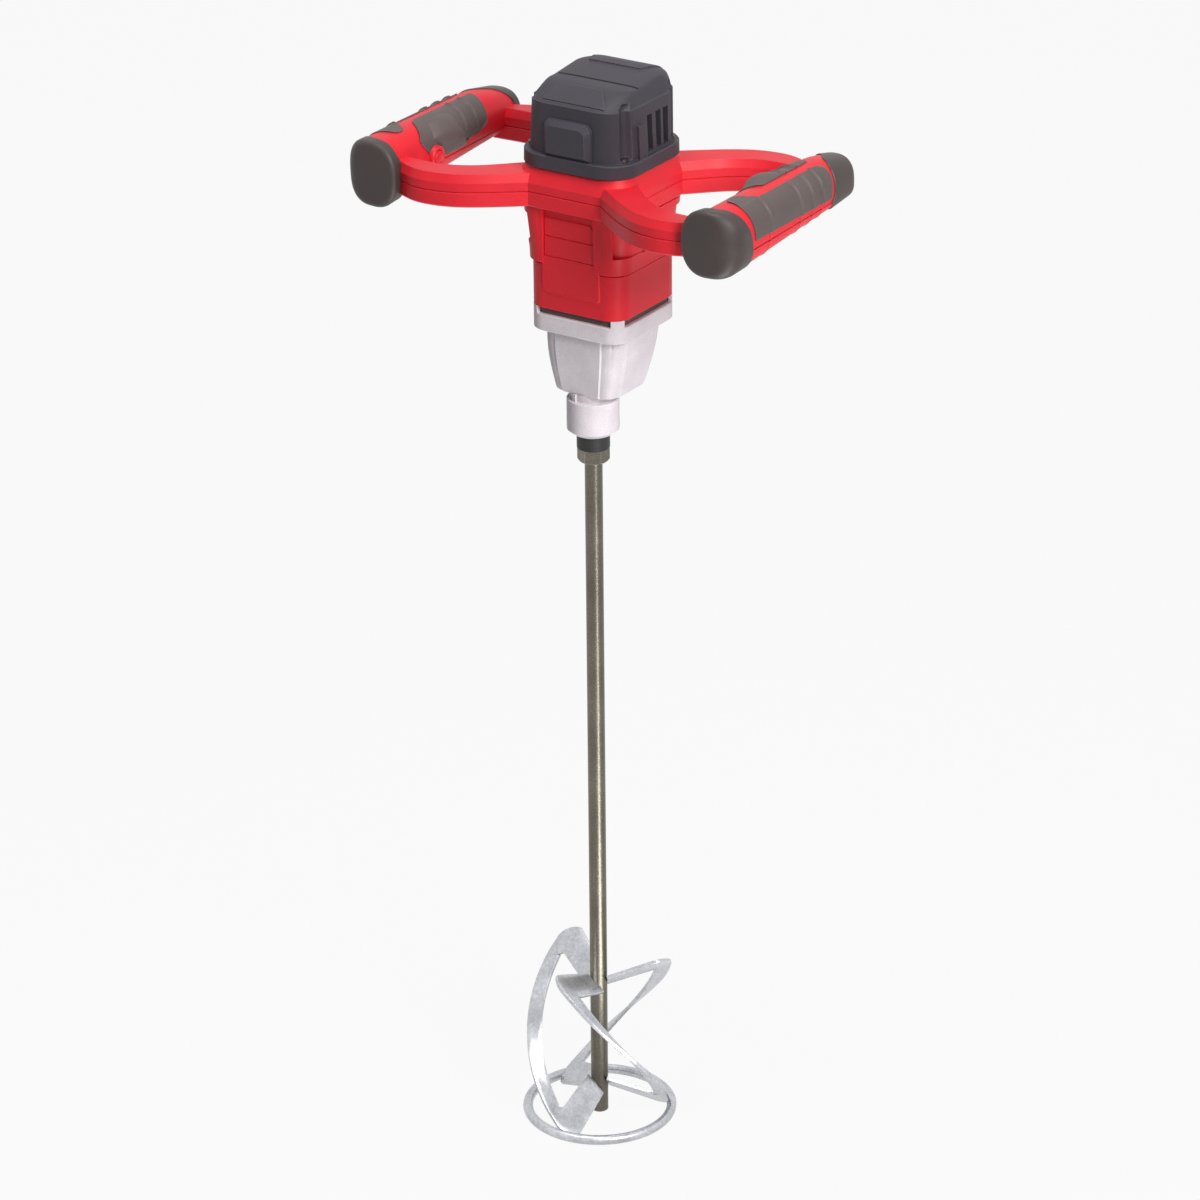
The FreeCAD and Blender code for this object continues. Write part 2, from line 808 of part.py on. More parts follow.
def make_top_cap():
    """Vented cover over the motor's upper end, with a bumper pad in front and screw grooves."""
    flange_outline = rounded_rect(
        cap_flange_half, cap_flange_half, cap_flange_corner, z_rim, 0, motor_offset)
    flange = prism(flange_outline, cap_flange_height)
    body = loft(cap_sections(0))
    front = motor_offset - cap_foot_half
    pad = block(-cap_pad_half, cap_pad_half, front - cap_pad_proud / 2, front + cap_foot_half / 2,
                z_rim + cap_flange_height / 2, z_cap_body + cap_pad_height)
    outside = flange.fuse([body, pad]).removeSplitter()
    inner = loft(cap_sections(cap_wall))
    inner.translate(Vector(0, 0, -cap_wall))
    mouth_half = cap_foot_half - cap_wall
    mouth = prism(rounded_rect(mouth_half, mouth_half, cap_corner - cap_wall, z_rim, 0, motor_offset),
                  cap_flange_height)
    cap = outside.cut([inner, mouth])
    columns = []
    drills = []
    for x, y in cap_screw_places():
        columns.append(post(screw_boss_r, z_rim, z_cap_body + cap_flange_height, x, y))
        drills.append(post(screw_groove_r, z_cap_body + cap_screw_seat, z_top, x, y))
        drills.append(cap_screw_hole(x, y))
    cap = cap.fuse([column.common(outside) for column in columns])
    for sx in (-1, 1):
        for i in range(vent_count):
            y = motor_offset + vent_first + i * vent_pitch
            x0, x1 = sorted((sx * (cap_shoulder_half - 2 * cap_wall), sx * cap_flange_half))
            z0 = z_cap_body + (cap_body_height - vent_height) / 2
            drills.append(block(x0, x1, y, y + vent_width, z0, z0 + vent_height))
    return cap.cut(drills).removeSplitter()


def cap_screw_places():
    """Plan places of the four long cap screws, beside the corners."""
    x = cap_foot_half - cap_screw_inset
    y = cap_foot_half - cap_screw_corner
    return [(sx * x, motor_offset + sy * y) for sx in (-1, 1) for sy in (-1, 1)]


def cap_screw_hole(x, y):
    """Way of one cap screw below its head."""
    return post(screw_r + bearing_fit, z_rim - cap_screw_grip, z_cap_body + cap_screw_seat, x, y)


def make_cap_screws():
    """Screws standing in the grooves of the cap, driven into the corners of the motor housing."""
    screws = []
    z_seat = z_cap_body + cap_screw_seat
    for x, y in cap_screw_places():
        head = post(screw_head_r, z_seat, z_seat + screw_head_height, x, y)
        shank = post(screw_r, z_rim - cap_screw_grip, z_seat, x, y)
        screws.append(head.fuse(shank).removeSplitter())
    return screws


# Spindle
def make_spindle():
    """Stepped output shaft, threaded for the paddle's stud at its nose."""
    nose = post(nose_r, z_hex_top, z_seal + seal_height)
    shaft = post(spindle_r, z_seal + seal_height, z_gear_floor)
    seat = post(gear_seat_r, z_gear_floor, z_deck - gear_gap)
    bore = post(stud_r + bearing_fit, z_hex_top, z_hex_top + stud_length + screw_tip_gap)
    return nose.fuse([shaft, seat]).removeSplitter().cut([bore, key_block(0)])


def race_pair(inner, outer, width, places, x, y):
    """Two rings of the same size at two heights."""
    return [tube(outer, inner, z, z + width, x, y) for z in places]


spindle_bearing_places = (lower_bearing_z, upper_bearing_z)
rotor_bearing_places = (z_lower_bearing, z_upper_bearing)


def inner_races(shaft, outer, width, places, x, y):
    """Inner rings with their ball sets, clear of the outer rings."""
    return race_pair(shaft + bearing_fit, outer - race_thickness - bearing_fit, width, places, x, y)


def outer_races(outer, width, places, x, y):
    """Outer rings pressed in their seats."""
    return race_pair(outer - race_thickness, outer, width, places, x, y)


def make_seal():
    """Lip seal round the spindle nose, above the lip of the collar."""
    return tube(spindle_bearing_r, nose_r + bearing_fit, z_seal, z_seal + seal_height)


def make_output_gear():
    """Wide gear keyed on the spindle."""
    blank = gear(second_gear_teeth, second_module, -second_shift, gear_width, z_second,
                 Vector(0, 0, 0), second_direction + math.pi / second_gear_teeth)
    bore = post(gear_seat_r + bearing_fit, z_second, z_second + gear_width)
    return blank.cut([bore, key_block(bearing_fit)])


def key_block(play):
    """Parallel key between spindle and output gear, grown by play."""
    half = key_width / 2 + play
    return block(-half, half, gear_seat_r - key_height / 2 - play, gear_seat_r + key_height / 2 + play,
                 z_second - play, z_second + gear_width + play)


# Layshaft
def make_layshaft():
    """Shaft with its pinion cut on it."""
    rod = post(layshaft_r, z_gear_floor - bush_length, z_plate_top, layshaft_x, layshaft_y)
    pinion = gear(second_pinion_teeth, second_module, second_shift, gear_width, z_second,
                  layshaft_axis, second_direction + math.pi)
    return rod.fuse(pinion).removeSplitter()


def make_layshaft_gear():
    blank = gear(first_gear_teeth, first_module, -first_shift, gear_width, z_first,
                 layshaft_axis, first_direction + math.pi + math.pi / first_gear_teeth)
    bore = post(layshaft_r + bearing_fit, z_first, z_first + gear_width, layshaft_x, layshaft_y)
    return blank.cut(bore)


def make_bushes():
    """Plain bushes at both ends of the layshaft."""
    places = (z_gear_floor - bush_length, z_plate_top - bush_length)
    return race_pair(layshaft_r + bearing_fit, bush_r, bush_length, places, layshaft_x, layshaft_y)


# Rotor
def make_rotor_shaft():
    """Motor shaft with the first pinion cut on its lower end."""
    rod = post(shaft_r, z_pocket, z_shaft_top, 0, motor_offset)
    root = first_module * (first_pinion_teeth / 2 + first_shift - tooth_root)
    stem = post(root, z_first, z_pocket, 0, motor_offset)
    pinion = gear(first_pinion_teeth, first_module, first_shift, gear_width, z_first,
                  motor_axis, first_direction)
    return rod.fuse([stem, pinion]).removeSplitter()


def rotor_slot_boxes(depth, width, z0, z1):
    """Radial bars round the rotor, one in each slot."""
    bars = []
    for k in range(rotor_slots):
        bar = block(rotor_r - depth, rotor_r + air_gap, -width / 2, width / 2, z0, z1)
        bar.rotate(Vector(0, 0, 0), Vector(0, 0, 1), 360 * k / rotor_slots)
        bar.translate(motor_axis)
        bars.append(bar)
    return bars


def make_rotor_core():
    """Laminated stack with open slots."""
    stack = tube(rotor_r, shaft_r + bearing_fit, z_stack, z_stack_top, 0, motor_offset)
    return stack.cut(rotor_slot_boxes(slot_depth, slot_width, z_stack, z_stack_top))


def make_rotor_windings():
    """Copper in the slots joined by a ring of end turns at both ends."""
    end_r = rotor_r - 2 * run_gap
    start = shaft_r + run_gap
    z0 = z_stack - winding_overhang
    z1 = z_stack_top + winding_overhang
    ends = [tube(end_r, start, low, high, 0, motor_offset)
            for low, high in ((z0, z_stack), (z_stack_top, z1))]
    room = post(end_r, z0, z1, 0, motor_offset)
    bars = [bar.common(room) for bar in
            rotor_slot_boxes(slot_depth, slot_width, z_stack, z_stack_top)]
    return ends[0].fuse([ends[1]] + bars).removeSplitter()


def make_commutator():
    """Copper drum grooved into bars."""
    drum = tube(commutator_r, shaft_r + bearing_fit, z_commutator, z_commutator_top, 0, motor_offset)
    grooves = []
    for k in range(commutator_bars):
        half = commutator_groove / 2
        cut = block(commutator_r - 2 * half, commutator_r, -half, half,
                    z_commutator, z_commutator_top - brush_gap)
        cut.rotate(Vector(0, 0, 0), Vector(0, 0, 1), 360 * k / commutator_bars)
        cut.translate(motor_axis)
        grooves.append(cut)
    return drum.cut(grooves)


def make_fan():
    """Radial fan: disc, hub and straight blades."""
    hub_r = shaft_r + fan_hub_wall
    disc = tube(fan_r, shaft_r + bearing_fit, z_fan, z_fan + fan_disc, 0, motor_offset)
    hub = tube(hub_r, shaft_r + bearing_fit, z_fan, z_fan + fan_height, 0, motor_offset)
    blades = []
    for k in range(fan_blades):
        blade = block(hub_r + fan_eye, fan_r - fan_blade_inset, -fan_blade_half, fan_blade_half,
                      z_fan, z_fan + fan_height - fan_blade_inset)
        blade.rotate(Vector(0, 0, 0), Vector(0, 0, 1), 360 * k / fan_blades)
        blade.translate(motor_axis)
        blades.append(blade)
    return disc.fuse([hub] + blades).removeSplitter()


# Stator and brush gear
stator_bore_r = rotor_r + air_gap
coil_bore_r = stator_bore_r + pole_lip
coil_outer_r = coil_bore_r + coil_thickness


def coil_ring(z0, z1, offset):
    """Two arc-shaped windows, left and right of the rotor, grown by offset."""
    ring = tube(coil_outer_r + offset, coil_bore_r - offset, z0, z1, 0, motor_offset)
    reach = coil_outer_r + offset
    rise = reach * math.sin(math.radians(coil_half_angle))
    sides = []
    for sx in (-1, 1):
        x0, x1 = sorted((0, sx * reach))
        side = block(x0, x1, motor_offset - rise - offset, motor_offset + rise + offset, z0, z1)
        sides.append(ring.common(side))
    return sides


def make_stator():
    """Laminated stack, square outside, with a window for each field coil."""
    outline = rounded_rect(stator_half, stator_half, inner_corner, z_stack, 0, motor_offset)
    stack = prism(outline, stack_height)
    bore = post(stator_bore_r, z_stack, z_stack_top, 0, motor_offset)
    lugs = []
    for sx in (-1, 1):
        x0, x1 = sorted((sx * (stator_half - lug_half), sx * inner_half))
        lugs.append(block(x0, x1, motor_offset - lug_half, motor_offset + lug_half, z_stack, z_stack_top))
        y0, y1 = sorted((motor_offset + sx * (stator_half - lug_half), motor_offset + sx * inner_half))
        lugs.append(block(-lug_half, lug_half, y0, y1, z_stack, z_stack_top))
    return stack.fuse(lugs).removeSplitter().cut([bore] + coil_ring(z_stack, z_stack_top, coil_room))


def make_field_coils():
    """Two saddle windings that stand out above and below the stack."""
    return coil_ring(z_stack - winding_overhang, z_stack_top + winding_overhang, 0)


z_brush = z_commutator + (commutator_height - brush_height) / 2
brush_start = commutator_r + bearing_fit


def brush_gear():
    """Brush and its holder box on each side of the commutator."""
    brushes = []
    holders = []
    springs = []
    for sx in (-1, 1):
        x0, x1 = sorted((sx * brush_start, sx * (brush_start + brush_length)))
        half = brush_width / 2
        brush = block(x0, x1, motor_offset - half, motor_offset + half, z_brush, z_brush + brush_height)
        drum = post(commutator_r + bearing_fit, z_commutator, z_commutator_top, 0, motor_offset)
        brushes.append(brush.cut(drum))
        h0, h1 = sorted((sx * (brush_start + brush_gap), sx * inner_half))
        w = half + holder_wall
        body = block(h0, h1, motor_offset - w, motor_offset + w, z_brush - holder_wall,
                     z_brush + brush_height + holder_wall)
        play = slide_fit / 3
        r0, r1 = sorted((sx * brush_start, sx * (inner_half - holder_wall)))
        room = block(r0, r1, motor_offset - half - play, motor_offset + half + play,
                     z_brush - play, z_brush + brush_height + play)
        holders.append(body.cut(room))
        coil = inner_half - holder_wall - brush_start - brush_length
        base = Vector(sx * (brush_start + brush_length), motor_offset, z_brush + brush_height / 2)
        way = Vector(sx, 0, 0)
        sleeve = lying(half - play, coil, base, way)
        springs.append(sleeve.cut(lying(half - play - spring_wire, coil, base, way)))
    return brushes, holders, springs


def make_bearing_bridge():
    """Cross bridge that holds the rotor's upper bearing inside the housing."""
    hub = post(rotor_bearing_r + plastic_wall, z_bridge, z_bridge + bridge_height, 0, motor_offset)
    z1 = z_bridge + bridge_height
    arms = [block(-inner_half, inner_half, motor_offset - lug_half, motor_offset + lug_half, z_bridge, z1),
            block(-lug_half, lug_half, motor_offset - inner_half, motor_offset + inner_half, z_bridge, z1)]
    bore = post(rotor_bearing_r + bearing_fit, z_upper_bearing, z_shaft_top, 0, motor_offset)
    shaft_way = post(shaft_r + run_gap * 2, z_bridge, z_shaft_top, 0, motor_offset)
    return hub.fuse(arms).removeSplitter().cut([bore, shaft_way])


# Switch gear
def make_trigger():
    """Finger lever with a domed face, bored for its pin at the back."""
    x0 = inner_face_x - trigger_thickness
    x1 = inner_face_x + trigger_proud
    z1 = z_trigger + trigger_height
    y0 = trigger_front
    y1 = trigger_pin_y + trigger_thickness / 2
    flat = inner_face_x
    rear = Vector(flat, y1 - slide_fit, z_trigger)
    edges = [
        Part.LineSegment(Vector(flat, y0, z_trigger), Vector(x0, y0, z_trigger)).toShape(),
        Part.LineSegment(Vector(x0, y0, z_trigger), Vector(x0, y1 - slide_fit, z_trigger)).toShape(),
        Part.LineSegment(Vector(x0, y1 - slide_fit, z_trigger), rear).toShape(),
        Part.Arc(rear, Vector(x1, (y0 + y1) / 2, z_trigger), Vector(flat, y0, z_trigger)).toShape(),
    ]
    body = prism(Part.Wire(edges), trigger_height)
    bore = post(trigger_pin_r + bearing_fit, z_trigger, z1, trigger_pin_x, trigger_pin_y)
    return body.cut(bore)


def make_trigger_pin():
    """Steel pin seated in the frame above and below the trigger."""
    return post(trigger_pin_r, z_trigger - trigger_pin_seat, z_trigger + trigger_height + trigger_pin_seat,
                trigger_pin_x, trigger_pin_y)


def make_lock_button():
    """Round button standing proud of its guard ring."""
    length = bar_wall + button_boss_height + button_travel / 2
    inner_end = Vector(inner_face_x - bar_wall, button_y, z_handle)
    stem = lying(button_r, length, inner_end, button_axis)
    collar = lying(button_boss_r, button_flange, inner_end - button_axis * button_flange, button_axis)
    return stem.fuse(collar).removeSplitter()


def make_switch():
    """Moulded switch block on the far wall of the left bar."""
    x0 = -handle_x - bar_half_width + bar_wall
    y0 = button_y - button_boss_r
    return block(x0, x0 + switch_width, y0, y0 + switch_length, z_handle - switch_height / 2,
                 z_handle + switch_height / 2)


switch_face_x = bar_wall - handle_x - bar_half_width + switch_width


def return_spring(end_x, y, z):
    """Sleeve of the coil between the switch block and a pressed piece, at rest."""
    length = end_x - switch_face_x
    base = Vector(switch_face_x, y, z)
    inner = lying(spring_r - spring_wire, length, base, button_axis)
    return lying(spring_r, length, base, button_axis).cut(inner)


def make_trigger_spring():
    """Return spring under the free end of the trigger."""
    y = trigger_front + 2 * spring_r
    return return_spring(inner_face_x - trigger_thickness, y, z_trigger + trigger_height / 2)


def make_button_spring():
    """Return spring behind the lock button."""
    return return_spring(inner_face_x - bar_wall - button_flange, button_y, z_handle)


# Paddle
def make_hex():
    """Hexagon with the threaded stud that screws into the spindle."""
    corner = hex_across_flats / math.sqrt(3)
    turns = [math.radians(60 * k + 30) for k in range(6)]
    points = [Vector(corner * math.cos(turn), corner * math.sin(turn), z_hex) for turn in turns]
    stud = post(stud_r, z_hex_top, z_hex_top + stud_length)
    return polygon_prism(points, hex_height).fuse(stud).removeSplitter()


def make_rod():
    """Round rod from the hexagon down to the level of the ring."""
    return post(rod_r, z_floor, z_hex)


def make_ring():
    """Bottom ring of round wire."""
    return Part.makeTorus(ring_centre_r, ring_wire_r, Vector(0, 0, z_floor + ring_wire_r))


def blade_point(r, along, base):
    """Point of the tilted plate: along is measured down the plate, from the middle of an arm at base."""
    middle, turn = base
    tilt = math.radians(blade_tilt)
    aside = (along - middle) * math.sin(tilt)
    x = r * math.cos(turn) - aside * math.sin(turn)
    y = r * math.sin(turn) + aside * math.cos(turn)
    return Vector(x, y, z_floor + blade_top - along * math.cos(tilt))


def corner_arc(corner, toward, radius, start, end):
    """Points of a rounded corner in the flat plate, between two directions in degrees."""
    points = []
    for step in range(blade_corner_steps):
        angle = math.radians(start + (end - start) * step / (blade_corner_steps - 1))
        points.append((corner[0] - radius + radius * math.cos(angle),
                       corner[1] + toward * radius * (1 - math.sin(angle))))
    return points


def blade_sections():
    """Inner and outer edge points of one loop: top arm, corner, run, corner, low arm."""
    tilt = math.radians(blade_tilt)
    inner_r = blade_outer_r - blade_run_width
    middle_r = blade_outer_r - blade_run_width / 2
    half = blade_arm_width / 2
    root = rod_r / 2
    top_slope = (blade_top - blade_root_top) / (middle_r - root) / math.cos(tilt)
    low_slope = (blade_root_low - blade_low) / (middle_r - root) / math.cos(tilt)
    drop = (blade_top - blade_low) / math.cos(tilt)
    first = math.radians(blade_first_angle)
    last = first + math.radians(blade_twist)

    def top_middle(r):
        return (middle_r - r) * top_slope

    def low_middle(r):
        return drop - (middle_r - r) * low_slope

    pairs = [(blade_point(root, top_middle(root) + half, (top_middle(root), first)),
              blade_point(root, top_middle(root) - half, (top_middle(root), first)))]
    inner = corner_arc((inner_r, top_middle(inner_r) + half), 1, blade_inner_corner, 90, 0)
    outer = corner_arc((blade_outer_r, top_middle(blade_outer_r) - half), 1, blade_outer_corner, 90, 0)
    for (ri, hi), (ro, ho) in zip(inner, outer):
        pairs.append((blade_point(ri, hi, (top_middle(ri), first)),
                      blade_point(ro, ho, (top_middle(ro), first))))
    lead = half * math.sin(tilt) / middle_r
    for step in range(1, blade_run_steps):
        share = step / blade_run_steps
        turn = first + lead + (last - first - 2 * lead) * share
        along = half + (drop - 2 * half) * share
        pairs.append(tuple(blade_point(r, along, (along, turn)) for r in (inner_r, blade_outer_r)))
    inner = corner_arc((inner_r, low_middle(inner_r) - half), -1, blade_inner_corner, 0, 90)
    outer = corner_arc((blade_outer_r, low_middle(blade_outer_r) + half), -1, blade_outer_corner, 0, 90)
    for (ri, hi), (ro, ho) in zip(inner, outer):
        pairs.append((blade_point(ri, hi, (low_middle(ri), last)),
                      blade_point(ro, ho, (low_middle(ro), last))))
    pairs.append((blade_point(root, low_middle(root) - half, (low_middle(root), last)),
                  blade_point(root, low_middle(root) + half, (low_middle(root), last))))
    return pairs


def make_blades():
    """Plate loops tilted on the rod: one skin carried along arm, twisted run and arm."""
    pairs = blade_sections()
    middles = [(a + b) * 0.5 for a, b in pairs]
    sections = []
    for i, (inner, outer) in enumerate(pairs):
        ahead = middles[min(i + 1, len(middles) - 1)] - middles[max(i - 1, 0)]
        normal = (outer - inner).cross(ahead).normalize() * (blade_plate / 2)
        ring = [inner - normal, outer - normal, outer + normal, inner + normal]
        sections.append(Part.makePolygon(ring + [ring[0]]))
    rod = post(rod_r + weld_gap, z_floor, z_hex)
    weld = Part.makeTorus(ring_centre_r, ring_wire_r + weld_gap, Vector(0, 0, z_floor + ring_wire_r))
    loop = loft(sections).cut([rod, weld])
    blades = []
    for k in range(blade_count):
        blade = loop.copy()
        blade.rotate(Vector(0, 0, 0), Vector(0, 0, 1), 360 * k / blade_count)
        blades.append(blade)
    return blades


def build():
    os.makedirs("parts", exist_ok=True)
    save("gearbox_housing", make_gearbox())
    save("gearbox_screws", make_gearbox_screws())
    save("bearing_plate", make_bearing_plate())
    save("motor_housing", make_housing())
    shroud = make_shroud()
    save("air_shroud_right", shroud)
    save("air_shroud_left", mirrored(shroud))

    sleeve = pad_sleeve()
    far = block(handle_x, handle_x + bar_half_height * 2, bar_front, bar_back, z_frame, z_top)
    right_outer = sleeve.common(far).Solids[0]
    right_inner = sleeve.cut(far).Solids[0]
    left_outer = mirrored(right_outer)
    left_inner = mirrored(right_inner).cut([trigger_window(), button_boss(), make_trigger_pin()])
    cap = make_end_cap(False)
    front_caps = [cap, mirrored(cap)]
    end_caps = front_caps + [turned_end(c) for c in front_caps]
    upper, lower = make_frame([right_outer, right_inner, left_outer, left_inner] + end_caps)
    save("handle_frame_upper", upper)
    save("handle_frame_lower", lower)
    save("handle_frame_screws", make_frame_screws())
    save("grip_pad_right_outer", right_outer)
    save("grip_pad_right_inner", right_inner)
    save("grip_pad_left_outer", left_outer)
    save("grip_pad_left_inner", left_inner)

    bored = make_end_cap(True)
    save("end_cap_right_front", cap)
    save("end_cap_right_rear", turned_end(cap))
    save("end_cap_left_front", mirrored(cap))
    save("end_cap_left_rear", turned_end(mirrored(bored)))
    save("cord_gland", make_gland())
    save("motor_cap", make_top_cap())
    save("motor_cap_screws", make_cap_screws())

    save("spindle", make_spindle())
    save("spindle_seal", make_seal())
    save("spindle_bearing_outer_races", outer_races(
        spindle_bearing_r, spindle_bearing_width, spindle_bearing_places, 0, 0))
    save("spindle_bearing_inner_races", inner_races(
        spindle_r, spindle_bearing_r, spindle_bearing_width, spindle_bearing_places, 0, 0))
    save("output_gear", make_output_gear())
    save("output_gear_key", key_block(0))
    save("layshaft", make_layshaft())
    save("layshaft_gear", make_layshaft_gear())
    save("layshaft_bushes", make_bushes())

    save("rotor_shaft", make_rotor_shaft())
    save("rotor_core", make_rotor_core())
    save("rotor_windings", make_rotor_windings())
    save("commutator", make_commutator())
    save("cooling_fan", make_fan())
    save("rotor_bearing_outer_races", outer_races(
        rotor_bearing_r, rotor_bearing_width, rotor_bearing_places, 0, motor_offset))
    save("rotor_bearing_inner_races", inner_races(
        shaft_r, rotor_bearing_r, rotor_bearing_width, rotor_bearing_places, 0, motor_offset))
    save("stator_core", make_stator())
    save("field_coils", make_field_coils())
    brushes, holders, springs = brush_gear()
    save("carbon_brushes", brushes)
    save("brush_holders", holders)
    save("brush_springs", springs)
    save("upper_bearing_bridge", make_bearing_bridge())

    save("switch_body", make_switch())
    save("trigger", make_trigger())
    save("trigger_pin", make_trigger_pin())
    save("trigger_spring", make_trigger_spring())
    save("lock_button", make_lock_button())
    save("lock_button_spring", make_button_spring())

    save("paddle_hexagon", make_hex())
    save("paddle_rod", make_rod())
    save("paddle_ring", make_ring())
    for letter, blade in zip("abc", make_blades()):
        save("mixing_blade_" + letter, blade)


build()
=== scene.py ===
import bpy
import bmesh
import math
import numpy as np
from mathutils import Matrix


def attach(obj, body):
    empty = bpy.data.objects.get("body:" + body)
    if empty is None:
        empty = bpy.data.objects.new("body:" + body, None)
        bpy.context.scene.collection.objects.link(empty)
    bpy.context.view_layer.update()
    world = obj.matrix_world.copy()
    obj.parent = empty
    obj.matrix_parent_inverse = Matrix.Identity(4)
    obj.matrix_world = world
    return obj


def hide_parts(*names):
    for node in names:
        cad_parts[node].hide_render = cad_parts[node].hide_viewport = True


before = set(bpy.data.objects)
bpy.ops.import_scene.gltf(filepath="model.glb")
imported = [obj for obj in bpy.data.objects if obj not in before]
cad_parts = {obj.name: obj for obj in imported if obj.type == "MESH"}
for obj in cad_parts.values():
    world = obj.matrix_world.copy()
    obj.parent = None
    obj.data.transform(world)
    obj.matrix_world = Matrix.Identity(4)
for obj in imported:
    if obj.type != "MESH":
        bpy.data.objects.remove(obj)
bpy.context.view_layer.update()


# Spindle nose
# The drum at the lower end of the output shaft, turned from bar and blackened.
# The shaft runs up through the collar, and the paddle's stud screws into the drum.
def tone(red, green, blue):
    """Linear colour of a screen colour: each channel v / 255 goes through the screen's curve."""
    v = np.array([red, green, blue]) / 255.0
    line = np.where(v > 0.04045, ((v + 0.055) / 1.055) ** 2.4, v / 12.92)
    return (*line.tolist(), 1.0)


def skin(name, sheets, crisp=32.0):
    """Mesh of grids of points in millimetres, each (rows, columns, 3) with one quad for every cell.

    A sheet is (grid, round, ends): round joins the last column to the first, ends closes the first
    and last rows with a face each. Edges that turn by more than crisp degrees stay sharp.
    """
    points = []
    faces = []
    start = 0
    for grid, around, ends in sheets:
        rows, columns = grid.shape[:2]
        index = start + np.arange(rows * columns).reshape(rows, columns)
        cells = np.concatenate([index, index[:, :1]], axis=1) if around else index
        quads = np.stack([cells[:-1, :-1], cells[:-1, 1:], cells[1:, 1:], cells[1:, :-1]], axis=-1)
        faces += quads.reshape(-1, 4).tolist()
        if ends:
            faces += [index[0][::-1].tolist(), index[-1].tolist()]
        points.append(grid.reshape(-1, 3))
        start += rows * columns
    mesh = bpy.data.meshes.new(name)
    mesh.from_pydata((np.concatenate(points) * 0.001).tolist(), [], faces)
    work = bmesh.new()
    work.from_mesh(mesh)
    bmesh.ops.remove_doubles(work, verts=work.verts, dist=1e-6)
    bmesh.ops.dissolve_degenerate(work, edges=work.edges, dist=1e-7)
    bmesh.ops.recalc_face_normals(work, faces=work.faces)
    work.to_mesh(mesh)
    work.free()
    mesh.shade_smooth()
    mesh.set_sharp_from_angle(angle=math.radians(crisp))
    piece = bpy.data.objects.new(name, mesh)
    bpy.context.collection.objects.link(piece)
    return piece


def turned(profile, steps=72):
    """Grid of a turned form: each (radius, z) of the profile goes once round the spindle's axis."""
    radius, z = np.array(profile, float).T[:, :, None]
    turn = np.linspace(0, 2 * np.pi, steps, endpoint=False)
    return np.dstack([radius * np.cos(turn), radius * np.sin(turn),
                      np.broadcast_to(z, (len(profile), steps))])


def place(tree, kind, inputs, **settings):
    """Adds a shader node, sets its settings, and sets or links its inputs by name or number."""
    node = tree.nodes.new(kind)
    for label, value in settings.items():
        setattr(node, label, value)
    for label, value in inputs.items():
        if isinstance(value, bpy.types.NodeSocket):
            tree.links.new(value, node.inputs[label])
        else:
            node.inputs[label].default_value = value
    return node


def effect(name, inputs, outputs):
    """Empty shader node group with named sockets; gives the group, its input node and output node."""
    group = bpy.data.node_groups.new(name, "ShaderNodeTree")
    for label, kind in inputs:
        group.interface.new_socket(name=label, in_out="INPUT", socket_type=kind)
    for label in outputs:
        group.interface.new_socket(name=label, in_out="OUTPUT", socket_type="NodeSocketFloat")
    return group, group.nodes.new("NodeGroupInput"), group.nodes.new("NodeGroupOutput")


grain, given, result = effect(
    "surface grain",
    [("Coordinates", "NodeSocketVector"), ("Fine", "NodeSocketFloat"), ("Broad", "NodeSocketFloat")],
    ["Grain", "Mottle"])
fine = place(grain, "ShaderNodeTexNoise", {"Vector": given.outputs["Coordinates"],
                                           "Scale": given.outputs["Fine"], "Detail": 3.0})
broad = place(grain, "ShaderNodeTexNoise", {"Vector": given.outputs["Coordinates"],
                                            "Scale": given.outputs["Broad"], "Detail": 4.0})
grain.links.new(fine.outputs["Fac"], result.inputs["Grain"])
grain.links.new(broad.outputs["Fac"], result.inputs["Mottle"])

# Edge mask from the bevel normal, broken up by noise: it lightens edges as partly wear and partly
# painted highlight.
edge_wear_and_highlight, given, result = effect(
    "edge wear and highlight",
    [("Coordinates", "NodeSocketVector"), ("Radius", "NodeSocketFloat"), ("Breakup", "NodeSocketFloat")],
    ["Wear"])
rounded = place(edge_wear_and_highlight, "ShaderNodeBevel", {"Radius": given.outputs["Radius"]}, samples=4)
flat = place(edge_wear_and_highlight, "ShaderNodeNewGeometry", {})
along = place(edge_wear_and_highlight, "ShaderNodeVectorMath", {0: rounded.outputs["Normal"], 1: flat.outputs["Normal"]},
              operation="DOT_PRODUCT")
turn_off = place(edge_wear_and_highlight, "ShaderNodeMapRange", {"Value": along.outputs["Value"], "From Min": 0.99,
                                              "From Max": 0.86, "To Min": 0.0, "To Max": 1.0})
patchy = place(edge_wear_and_highlight, "ShaderNodeTexNoise", {"Vector": given.outputs["Coordinates"],
                                            "Scale": given.outputs["Breakup"], "Detail": 4.0})
worn_and_highlit = place(edge_wear_and_highlight, "ShaderNodeMath", {0: turn_off.outputs["Result"], 1: patchy.outputs["Fac"]},
             operation="MULTIPLY")
edge_wear_and_highlight.links.new(worn_and_highlit.outputs["Value"], result.inputs["Wear"])


